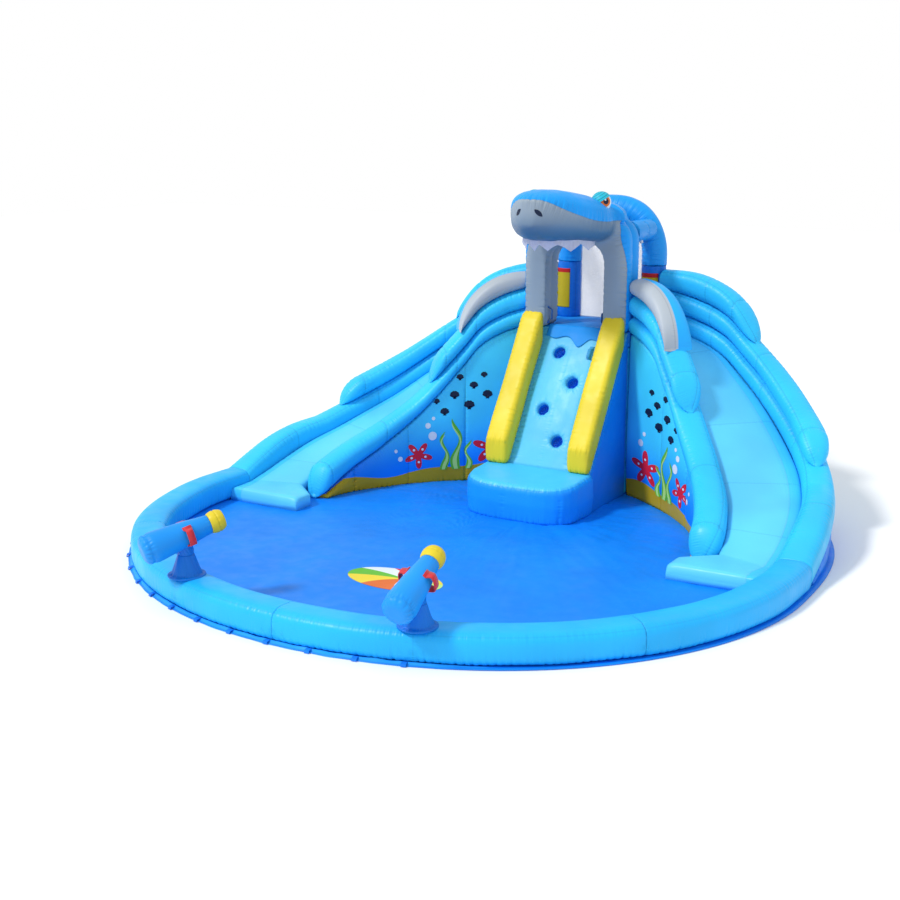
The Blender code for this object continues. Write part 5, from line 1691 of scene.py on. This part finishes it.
def make_rear_frame():
    beam_start = ARCH_BACK_Y + 0.001
    beam_end = POST_Y - POST_RADIUS + 0.02
    post_lines = [(turn, 0.003, 0.035, 0.002) for turn in (35, 145, 215, 325)]
    for side_name, flip in SIDE_PAIR:
        rings = []
        for t in shares(50):
            spot = at(flip * POST_X, POST_Y, mix(DECK_TOP + 0.001, POST_TOP_Z, t))
            radius = POST_RADIUS * (1 - 0.05 * math.exp(-min(t, 1 - t) / 0.05))
            rings.append(round_ring(spot, EAST, NORTH, radius))
        piece = skin_over(f"post_{side_name}", rings, "deep")
        seams = seams_on(rings, (), ((0.0, 0.006, 0.05, 0.0), (1.0, 0.006, 0.06, 0.0)))
        seams += seams_on(rings, post_lines)
        inflate(piece, seams, 0.003, 97.0, [f"rear_post_{side_name}"])
        spots = [at(flip * BEAM_X, mix(beam_start, beam_end, t), BEAM_Z) for t in shares(44)]
        rings = [round_ring(spot, EAST, HIGH, BEAM_RADIUS) for spot in spots]
        piece = skin_over(f"beam_{side_name}", rings, "head")
        seams = seams_on(rings, (), [(place, 0.007, 0.06, 0.003) for place in (0.0, 0.55, 1.0)])
        inflate(piece, seams, 0.004, 101.0, [f"side_beam_{side_name}"])
    path = rear_arch_path()
    rings = []
    for k, spot in enumerate(path):
        heading = (path[min(k + 1, len(path) - 1)] - path[max(k - 1, 0)]).normalized()
        rings.append(round_ring(spot, Vector((heading.z, 0.0, -heading.x)), NORTH, POST_RADIUS))
    piece = skin_over("rear_arch_skin", rings, "head")
    lines = (
        (125, 0.009, 0.07, 0.0),
        (235, 0.009, 0.07, 0.0),
        (305, 0.008, 0.06, 0.0),
        (45, 0.006, 0.05, 0.0),
    )
    seams = seams_on(rings, lines, [(share, 0.006, 0.05, 0.0) for share in (0.0, 1.0)])
    inflate(piece, seams, 0.004, 103.0, ["rear_arch"])
    make_net()


def make_net():
    """The net that closes the back of the deck, drawn tight between the posts."""
    half = POST_X - POST_RADIUS - 0.002
    inset = POST_RADIUS + 0.003
    power = 2 / REAR_POWER
    verts = []
    for u in shares(40):
        x = mix(-half, half, u)
        share = clamp(abs(x) / (POST_X - inset))
        crown = (1 - share ** (2 / power)) ** (power / 2)
        top = REAR_SPRING_Z + (REAR_CROWN_Z - inset - REAR_SPRING_Z) * crown
        for t in shares(70):
            z = mix(DECK_TOP + 0.001, top - 0.001, t)
            pull = 0.0035 * math.sin(z * 42.0) * math.exp(-min(u, 1 - u) / 0.12)
            verts.append(at(x, POST_Y + pull, z))
    piece = open_piece("net_panel", verts, grid_faces(40, 70), "net", -NORTH, 0.002)
    dress(piece, ["back_net"])


# Water cannons

CANNON_X = 0.87
CANNON_Y = -2.08
CANNON_AIM = {"right": (5.0, 22.0), "left": (-30.0, 15.0)}
STAND_FOOT_RADIUS = 0.10
STAND_TOP_RADIUS = 0.052
STAND_FLANGE_RADIUS = 0.122
STAND_TOP_Z = 0.345
NECK_TOP_Z = 0.39
NECK_TOP_RADIUS = 0.046
BARREL_AXIS_Z = 0.475
BARREL_FRONT = 0.165
BARREL_SHAPE = (
    (-0.29, 0.045),
    (-0.27, 0.078),
    (-0.232, 0.098),
    (-0.20, 0.100),
    (-0.10, 0.0910),
    (0.0, 0.0825),
    (0.1155, 0.0669),
    (0.165, 0.061),
)
BARREL_TAIL = (
    (0.004, -0.003),
    (0.025, -0.004),
    (0.050, -0.004),
    (0.066, -0.001),
    (0.078, 0.005),
    (0.087, 0.013),
    (0.093, 0.022),
    (0.097, 0.032),
)
CAP_RADIUS = 0.073
CAP_LENGTH = 0.10
GRIP_STEPS = ((-50, 0.0), (-38, 0.0), (-26, 1.0), (0, 1.0), (26, 1.0), (38, 0.0), (50, 0.0))
GRIP_STAND = 0.03
GRIP_WIDTH = 0.046
GRIP_THICK = 0.008
GRIP_ALONG = 0.01
GRIP_RADIUS = 0.0804


def barrel_place(side_name, side):
    """Where a cannon's barrel lies: its length runs along Y, its hinge along X."""
    aim, tilt = CANNON_AIM[side_name]
    spot = at(side * CANNON_X, CANNON_Y, BARREL_AXIS_Z)
    turn = Matrix.Rotation(math.radians(aim), 4, "Z") @ Matrix.Rotation(math.radians(tilt), 4, "X")
    return Matrix.Translation(spot) @ turn


def turned_rings(profile, place, sides, ripple):
    """Rings of (radius, reach) pairs about the Y axis, put in place."""
    rings = []
    for radius, reach in profile:
        ring = []
        for angle in angles(sides):
            r = radius * (1 + ripple(angle, reach))
            ring.append(place @ Vector((r * math.cos(angle), reach, r * math.sin(angle))))
        rings.append(ring)
    return rings


def make_barrel(side_name, side, body):
    place = barrel_place(side_name, side)
    start = BARREL_SHAPE[0][0]
    profile = [(radius, start + reach) for radius, reach in BARREL_TAIL]
    for t in shares(45):
        reach = mix(start + 0.042, BARREL_FRONT, t)
        profile.append((smooth_through(BARREL_SHAPE, reach), reach))

    def tail_pleats(angle, reach):
        gather = math.exp(-(((reach + 0.272) / 0.020) ** 2))
        return 0.11 * gather * (abs(math.sin(angle * 8 + 0.9 * math.sin(3 * angle))) ** 0.6 - 0.8)

    def line_round(radius, reach):
        turns = angles(48, True)
        return [place @ Vector((radius * math.cos(a), reach, radius * math.sin(a))) for a in turns]

    piece = skin_over(f"barrel_{side_name}", turned_rings(profile, place, 84, tail_pleats), "barrel")
    seams = [(line_round(0.098, -0.235), 0.005, 0.040, 0.001), (line_round(0.062, 0.158), 0.003, 0.03, 0.0)]
    node = f"cannon_barrel_{side_name}"
    inflate(piece, seams, 0.0004, 107.0, [node], body=body, pitch=0.026)


def make_cap(side_name, side, body):
    """The spray cap: a drum with a gathered seam round it and a round jet."""
    place = barrel_place(side_name, side)
    start = BARREL_FRONT + 0.0005
    profile = [(CAP_RADIUS * 0.80, start)]
    for k in range(25):
        t = k / 24
        swell = math.sin(math.pi * clamp(t * 0.82 + 0.12)) ** 0.4
        dent = 0.006 * math.exp(-(((t - 0.52) / 0.035) ** 2))
        profile.append((CAP_RADIUS * mix(0.55, 1.0, swell) - dent, start + CAP_LENGTH * t * 0.97))
    profile.append((0.026, start + CAP_LENGTH))
    profile.append((0.024, start + CAP_LENGTH - 0.012))

    def scallops(angle, reach):
        near = math.exp(-(((reach - start - CAP_LENGTH * 0.52) / 0.018) ** 2))
        return 0.03 * near * (abs(math.sin(angle * 7)) - 0.5)

    piece = skin_over(f"cap_{side_name}", turned_rings(profile, place, 84, scallops), "yellow")
    dress(piece, [f"cannon_cap_{side_name}"], body)


def make_grips(side_name, side, body):
    place = barrel_place(side_name, side)
    for hand, way in (("outer", 1), ("inner", -1)):
        rings = []
        for t in shares(80):
            turn = mix(GRIP_STEPS[0][0], GRIP_STEPS[-1][0], t)
            angle = math.radians(turn)
            lift = smooth_through(GRIP_STEPS, turn)
            low = GRIP_RADIUS + GRIP_STAND * clamp(lift, 0.0, 1.05) - 0.0015
            high = low + GRIP_THICK
            half = GRIP_WIDTH / 2 * (1 + 0.35 * (1 - clamp(lift))) * 0.95
            ring = []
            for radius, reach in ((low, -half), (low, half), (high, half), (high, 0.0), (high, -half)):
                x = way * radius * math.cos(angle)
                ring.append(place @ Vector((x, GRIP_ALONG + reach, radius * math.sin(angle))))
            rings.append(ring)
        piece = skin_over(f"grip_{side_name}_{hand}", rings, "red")
        dress(piece, [f"cannon_grip_{side_name}_{hand}"], body)


def make_stand(side_name, side):
    """A cone that leans into its welded flange, under the gathered neck."""
    centre = at(side * CANNON_X, CANNON_Y, 0.0)
    seat = SHEET_TOP + RING_HEIGHT
    profile = [(STAND_FLANGE_RADIUS, seat - 0.004), (STAND_FLANGE_RADIUS, seat + 0.004)]
    profile += [(STAND_FLANGE_RADIUS - 0.006, seat + 0.008), (STAND_FOOT_RADIUS + 0.002, seat + 0.010)]
    for t in shares(24)[1:]:
        radius = mix(STAND_FOOT_RADIUS, STAND_TOP_RADIUS, t**0.85)
        profile.append((radius, mix(seat + 0.012, STAND_TOP_Z - 0.001, t)))
    rings = []
    for radius, z in profile:
        ring = []
        for angle in angles(72):
            reach = radius - 0.0016 * math.sin(9 * angle + 30 * z) * clamp((z - seat) / 0.04)
            ring.append(centre + Vector((reach * math.cos(angle), reach * math.sin(angle), z)))
        rings.append(ring)
    piece = skin_over(f"stand_{side_name}", rings, "deep")
    foot = round_ring(centre + HIGH * (seat + 0.014), EAST, NORTH, 0.1, 40, True)
    node = f"cannon_stand_{side_name}"
    inflate(piece, [(foot, 0.006, 0.04, 0.003)], 0.0005, 109.0, [node])


def make_neck(side_name, side):
    """The soft collar between stand and barrel."""
    centre = at(side * CANNON_X, CANNON_Y, 0.0)
    rings = []
    for t in shares(24):
        z = mix(STAND_TOP_Z + 0.0005, NECK_TOP_Z + 0.014, t)
        radius = mix(STAND_TOP_RADIUS - 0.001, NECK_TOP_RADIUS, t) + 0.002 * math.sin(math.pi * t)
        ring = []
        for angle in angles(72):
            reach = radius - 0.0035 * abs(math.sin(6 * angle + 4 * t)) * math.sin(math.pi * t)
            ring.append(centre + Vector((reach * math.cos(angle), reach * math.sin(angle), z)))
        rings.append(ring)
    piece = skin_over(f"neck_{side_name}", rings, "deep")
    plain_seam(piece)
    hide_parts(f"cannon_neck_{side_name}")
    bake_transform(piece)


def make_cannons():
    for side_name, side in SIDE_PAIR:
        body = f"cannon_{side_name}"
        make_stand(side_name, side)
        make_neck(side_name, side)
        make_barrel(side_name, side, body)
        make_cap(side_name, side, body)
        make_grips(side_name, side, body)


# Straps and fittings

STRAP_STAND = 0.03
STRAP_WIDTH = 0.03
LEG_STRAP_LENGTH = 0.15
LEG_STRAP_Z = 1.46
WALL_STRAP_LENGTH = 0.14
WALL_STRAP_X = 0.185
WALL_STRAP_RUN = 0.99
STRAP_SHAPE = ((-0.5, 0.0), (-0.37, 0.0), (-0.26, 1.0), (0.0, 1.08), (0.26, 1.0), (0.37, 0.0), (0.5, 0.0))


def webbing(name, length, origin, along_way, out, look, node):
    """A hand strap: flat sewn ends that flare, and a loop that stands off."""
    side = out.cross(along_way)
    rings = []
    for share in shares(64):
        lift = max(smooth_through(STRAP_SHAPE, share - 0.5), 0.0)
        half = STRAP_WIDTH / 2 * (1 + 0.30 * (1 - clamp(lift)))
        centre = origin + along_way * (length * (share - 0.5)) + out * (STRAP_STAND * lift + 0.0005)
        section_points = ((-half, 0.0), (half, 0.0), (half, 0.004), (0.0, 0.0046), (-half, 0.004))
        rings.append([centre + side * across + out * rise for across, rise in section_points])
    piece = skin_over(name, rings, look)
    dress(piece, [node])


def make_straps():
    mid_y = ARCH_FRONT_Y + ARCH_GREY_DEPTH / 2
    for side_name, side in SIDE_PAIR:
        origin = at(side * (ARCH_INNER_HALF - 0.001), mid_y, LEG_STRAP_Z)
        node = f"leg_strap_{side_name}"
        webbing(f"leg_webbing_{side_name}", LEG_STRAP_LENGTH, origin, HIGH, EAST * -side, "blue", node)
    foot, up, normal, _ = slope()
    origin = foot + up * WALL_STRAP_RUN + normal * 0.012 + EAST * WALL_STRAP_X
    webbing("wall_webbing", WALL_STRAP_LENGTH, origin, up, normal, "strap_blue", "wall_strap")


SPRAY_Y = 2.06
SPRAY_DIP = 60.0
SPRAY_RADIUS = 0.016
SPRAY_SHAPE = (
    (0.0, 1.0),
    (0.006, 1.0),
    (0.008, 0.86),
    (0.018, 0.78),
    (0.0225, 0.62),
    (0.0205, 0.40),
)
INLET_RADIUS = 0.075
INLET_LENGTH = 0.09
INLET_X = 0.22
INLET_Z = 0.16
TOWER_BACK = 2.47


def make_fittings():
    """Spray heads under the beams, and the sleeve for a blower at the back."""
    dip = math.radians(SPRAY_DIP)
    for side_name, side in SIDE_PAIR:
        way = Vector((side * math.cos(dip), 0.0, -math.sin(dip)))
        start = at(side * BEAM_X, SPRAY_Y, BEAM_Z) + way * (BEAM_RADIUS - 0.002)
        across = way.cross(NORTH)
        rings = [round_ring(start + way * d, across, NORTH, SPRAY_RADIUS * r, 36) for d, r in SPRAY_SHAPE]
        piece = skin_over(f"spray_{side_name}", rings, "plastic")
        dress(piece, [f"spray_head_{side_name}"])
    rings = []
    for reach, steps in ((INLET_RADIUS, shares(30)), (INLET_RADIUS - 0.004, shares(30)[::-1])):
        for t in steps:
            ring = []
            for angle in angles(72):
                ruck = 0.0035 * math.exp(-(((t - 0.82) / 0.10) ** 2)) * abs(math.sin(11 * angle))
                radius = reach - ruck
                y = TOWER_BACK + 0.001 + INLET_LENGTH * t
                ring.append(at(INLET_X + radius * math.cos(angle), y, INLET_Z + radius * math.sin(angle)))
            rings.append(ring)
    piece = skin_over("inlet_sleeve", rings, "deep", capped=False, closed=True)
    dress(piece, ["air_inlet_sleeve"])


# Patches and prints

PATCH_WIDTH = 0.160
PATCH_LOW = 1.445
PATCH_HIGH = 1.78
PATCH_BAND = 0.035
PATCH_TURN = 262.0


def make_patches():
    """A plain yellow patch with a red band, sewn on each rear post."""
    for side_name, side in SIDE_PAIR:
        middle = math.radians(PATCH_TURN + 8 * side)
        spread = PATCH_WIDTH / POST_RADIUS
        verts = []
        for row in shares(32):
            z = mix(PATCH_LOW, PATCH_HIGH, row)
            spot = at(side * POST_X, POST_Y, z)
            for column in range(17):
                angle = middle + spread * (column / 16 - 0.5)
                ruck = 0.0012 * noise.noise(Vector((column * 0.5, z * 28.0, side)))
                way = Vector((math.cos(angle), math.sin(angle), 0.0))
                verts.append(spot + way * (POST_RADIUS + 0.0025 + ruck))
        outward = Vector((math.cos(middle), math.sin(middle), 0.0))
        piece = open_piece(f"patch_{side_name}", verts, grid_faces(32, 16), "patch", outward, 0.001, -1)
        tint(piece, lambda vertex: vertex.co.z - (PATCH_HIGH - PATCH_BAND))
        dress(piece)


def panel_place(run, z, flip):
    """A place on a slide's printed panel, by the run along it and the height."""
    share = run / INNER.length
    top = inner_rail_z(share) - inner_height(share)
    point = panel_spot(share, (z - SHEET_TOP) / (top - SHEET_TOP))
    return Vector((flip * point.x, point.y, point.z))


def panel_ribbon(name, surface, spot, height, sway, width, look, lift, phase):
    """A blade of sea grass that sways as it rises to a point."""
    verts = []
    for t in shares(40):
        lean = sway * math.sin(t * 7.5 + phase) * (0.35 + 0.65 * t)
        half = width * (1 - t) ** 0.6 * (0.75 + 0.25 * math.sin(t * 9.0)) + 0.001
        for k in (-1.0, -0.33, 0.33, 1.0):
            verts.append(laid_on(surface, spot(lean + half * k, height * t), lift))
    outward = surface.find_nearest(spot(0.0, 0.0))[1]
    piece = open_piece(name, verts, grid_faces(40, 3), look, outward)
    dress(piece)


def shell_shape(size):
    """A scallop shell: a fan with a lobed edge over two small wings."""
    points = []
    for share in shares(72):
        angle = math.radians(mix(-22, 202, share))
        lobe = 1 + 0.13 * abs(math.sin(math.pi * share * 6)) ** 0.6
        points.append((size * lobe * math.cos(angle), size * (lobe * math.sin(angle) * 0.92 + 0.12)))
    wings = ((-0.22, -0.62), (-0.42, -0.86), (0.42, -0.86), (0.22, -0.62))
    return points + [(size * u, size * v) for u, v in wings]


def star_shape(size, turn):
    points = []
    for angle in angles(60):
        reach = size * (0.30 + 0.70 * abs(math.cos(angle * 2.5)) ** 1.9)
        points.append((reach * math.cos(angle + turn), reach * math.sin(angle + turn)))
    return points


# Prints on the panels, each by its run, height and size. Grasses add how far
# they sway, their width and where the sway starts, and stars how far they turn.
SHELLS = (
    (0.33, 0.76, 0.036),
    (0.45, 0.84, 0.030),
    (0.49, 0.67, 0.038),
    (0.62, 0.76, 0.034),
    (0.71, 0.62, 0.032),
    (0.36, 0.93, 0.024),
    (0.78, 0.71, 0.024),
    (0.57, 0.91, 0.026),
)
GRASSES = (
    (0.60, 0.12, 0.44, 0.040, 0.042, 0.4),
    (0.71, 0.12, 0.33, 0.034, 0.034, 2.0),
    (0.50, 0.12, 0.25, 0.028, 0.028, 3.2),
)
STARS = ((0.30, 0.30, 0.150, 0.35), (0.95, 0.26, 0.12, 0.9))
BUBBLES = (
    (0.82, 0.42, 0.034),
    (0.86, 0.51, 0.022),
    (0.81, 0.57, 0.014),
    (0.22, 0.50, 0.026),
    (0.27, 0.58, 0.016),
    (1.12, 0.24, 0.020),
    (1.16, 0.31, 0.014),
)


def make_panel_prints():
    """Shells, sea grass, starfish and bubbles, the same on both panels."""
    for side_name, flip in SIDE_PAIR:
        surface = surface_of(bpy.data.objects[f"slide_body_skin_{side_name}"])
        stretch = 1.45 if flip > 0 else 1.1

        def spot_from(run, z):
            return lambda u, v: panel_place(run + stretch * u, z + v, flip)

        def lay(name, run, z, outline, look, lift=0.0018, levels=5):
            spot = spot_from(run, z)
            fan_print(f"print_{name}", surface, spot, outline, look, lift, levels)

        for k, (run, z, size) in enumerate(SHELLS):
            lay(f"shell_{side_name}_{k}", run, z, shell_shape(size), "navy")
        for k, (run, z, height, sway, width, phase) in enumerate(GRASSES):
            name = f"print_grass_{side_name}_{k}"
            blade = (surface, spot_from(run, z))
            panel_ribbon(name, *blade, height, sway, width, "leaf", 0.0018, phase)
            panel_ribbon(f"{name}_rib", *blade, height * 0.92, sway, width * 0.45, "lime", 0.0026, phase)
        for k, (run, z, size, turn) in enumerate(STARS):
            lay(f"star_{side_name}_{k}", run, z, star_shape(size, turn), "coral")
            for dot, angle in enumerate(angles(5)):
                u = stretch * size * 0.5 * math.cos(turn + angle)
                v = size * 0.5 * math.sin(turn + angle)
                name = f"star_dot_{side_name}_{k}_{dot}"
                lay(name, run + u, z + v, oval(0.010, 0.010, 16), "white", 0.0030, 2)
        for k, (run, z, size) in enumerate(BUBBLES):
            lay(f"bubble_{side_name}_{k}", run, z, oval(size, size * 1.1, 28), "white", levels=3)


FLOOR_PRINT_Y = -1.0
FLOOR_PRINT_WIDTH = 0.36
FLOOR_PRINT_HEIGHT = 0.20
FLOOR_PRINT_LOOKS = ("sun", "coral", "white", "leaf", "sun", "orange", "white", "lime")


def make_floor_print():
    """A striped beach ball, printed flat and wide on the pool's floor."""
    surface = surface_of(bpy.data.objects["ground_sheet"])
    centre = at(0.0, FLOOR_PRINT_Y, SHEET_TOP)
    hub_x, hub_y = (0.06, 0.035)
    for k, look in enumerate(FLOOR_PRINT_LOOKS):
        start = 2 * math.pi * k / len(FLOOR_PRINT_LOOKS)
        verts = []
        for row in shares(12):
            reach = mix(0.12, 1.0, row)
            for column in range(13):
                angle = start + 2 * math.pi / len(FLOOR_PRINT_LOOKS) * column / 12 + 0.35 * row
                u = FLOOR_PRINT_WIDTH * reach * math.cos(angle) + hub_x * (1 - reach)
                v = FLOOR_PRINT_HEIGHT * reach * math.sin(angle) + hub_y * (1 - reach)
                verts.append(laid_on(surface, centre + EAST * u + NORTH * v, 0.0016))
        piece = open_piece(f"floor_print_{k}", verts, grid_faces(12, 12), look, HIGH)
        dress(piece)

    def spot(u, v):
        return centre + EAST * (hub_x + u) + NORTH * (hub_y + v)

    fan_print("floor_print_hub", surface, spot, oval(0.05, 0.03), "white", 0.0024, 6)


# Staging


def make_camera():
    camera = bpy.data.objects.new("camera", bpy.data.cameras.new("camera"))
    bpy.context.collection.objects.link(camera)
    camera.location = CAMERA_PLACE
    camera.rotation_euler = [math.radians(angle) for angle in CAMERA_TURN]
    camera.data.lens = CAMERA_LENS
    camera.data.sensor_width = 36
    bpy.context.scene.camera = camera


def make_floor_and_light():
    """A plain white floor that keeps the park's shadow, and soft daylight."""
    scene = bpy.context.scene
    scene.view_settings.view_transform = "Standard"
    deselect()
    bpy.ops.mesh.primitive_plane_add(size=60)
    floor = bpy.context.active_object
    floor.name = "studio_floor"
    material, tree, shader = node_tree("studio_floor")
    plain = {"Base Color": (0.93, 0.93, 0.93, 1.0), "Roughness": 0.9, "Specular IOR Level": 0.1}
    fill_sockets(tree, shader, plain)
    floor.data.materials.append(material)
    world = bpy.data.worlds.new("daylight")
    scene.world = world
    world.use_nodes = True
    tree = world.node_tree
    back = tree.nodes["Background"]
    fill_sockets(tree, back, {"Color": (0.93, 0.96, 1.0, 1.0), "Strength": 0.82})
    seen = add_node(tree, "Background", {"Color": (1.0, 1.0, 1.0, 1.0), "Strength": 1.0})
    eye = add_node(tree, "LightPath", {}).outputs["Is Camera Ray"]
    blend = add_node(tree, "MixShader", {0: eye, 1: back.outputs[0], 2: seen.outputs[0]})
    fill_sockets(tree, tree.nodes["World Output"], {"Surface": blend.outputs[0]})
    sun = bpy.data.objects.new("sun", bpy.data.lights.new("sun", "SUN"))
    bpy.context.collection.objects.link(sun)
    sun.data.energy = 2.05
    sun.data.angle = math.radians(9)
    sun.data.color = (1.0, 0.98, 0.94)
    sun.rotation_euler = [math.radians(angle) for angle in (38, -18, -12)]


make_camera()
make_floor_and_light()
make_ring()
make_sheet()
make_hem()
make_tie_loops()
make_outer_tubes()
make_inner_tubes()
make_bodies()
make_beds()
make_wall()
make_rails()
make_step()
make_core_and_deck()
make_head()
make_rear_frame()
make_cannons()
make_straps()
make_fittings()
make_patches()
make_panel_prints()
make_floor_print()
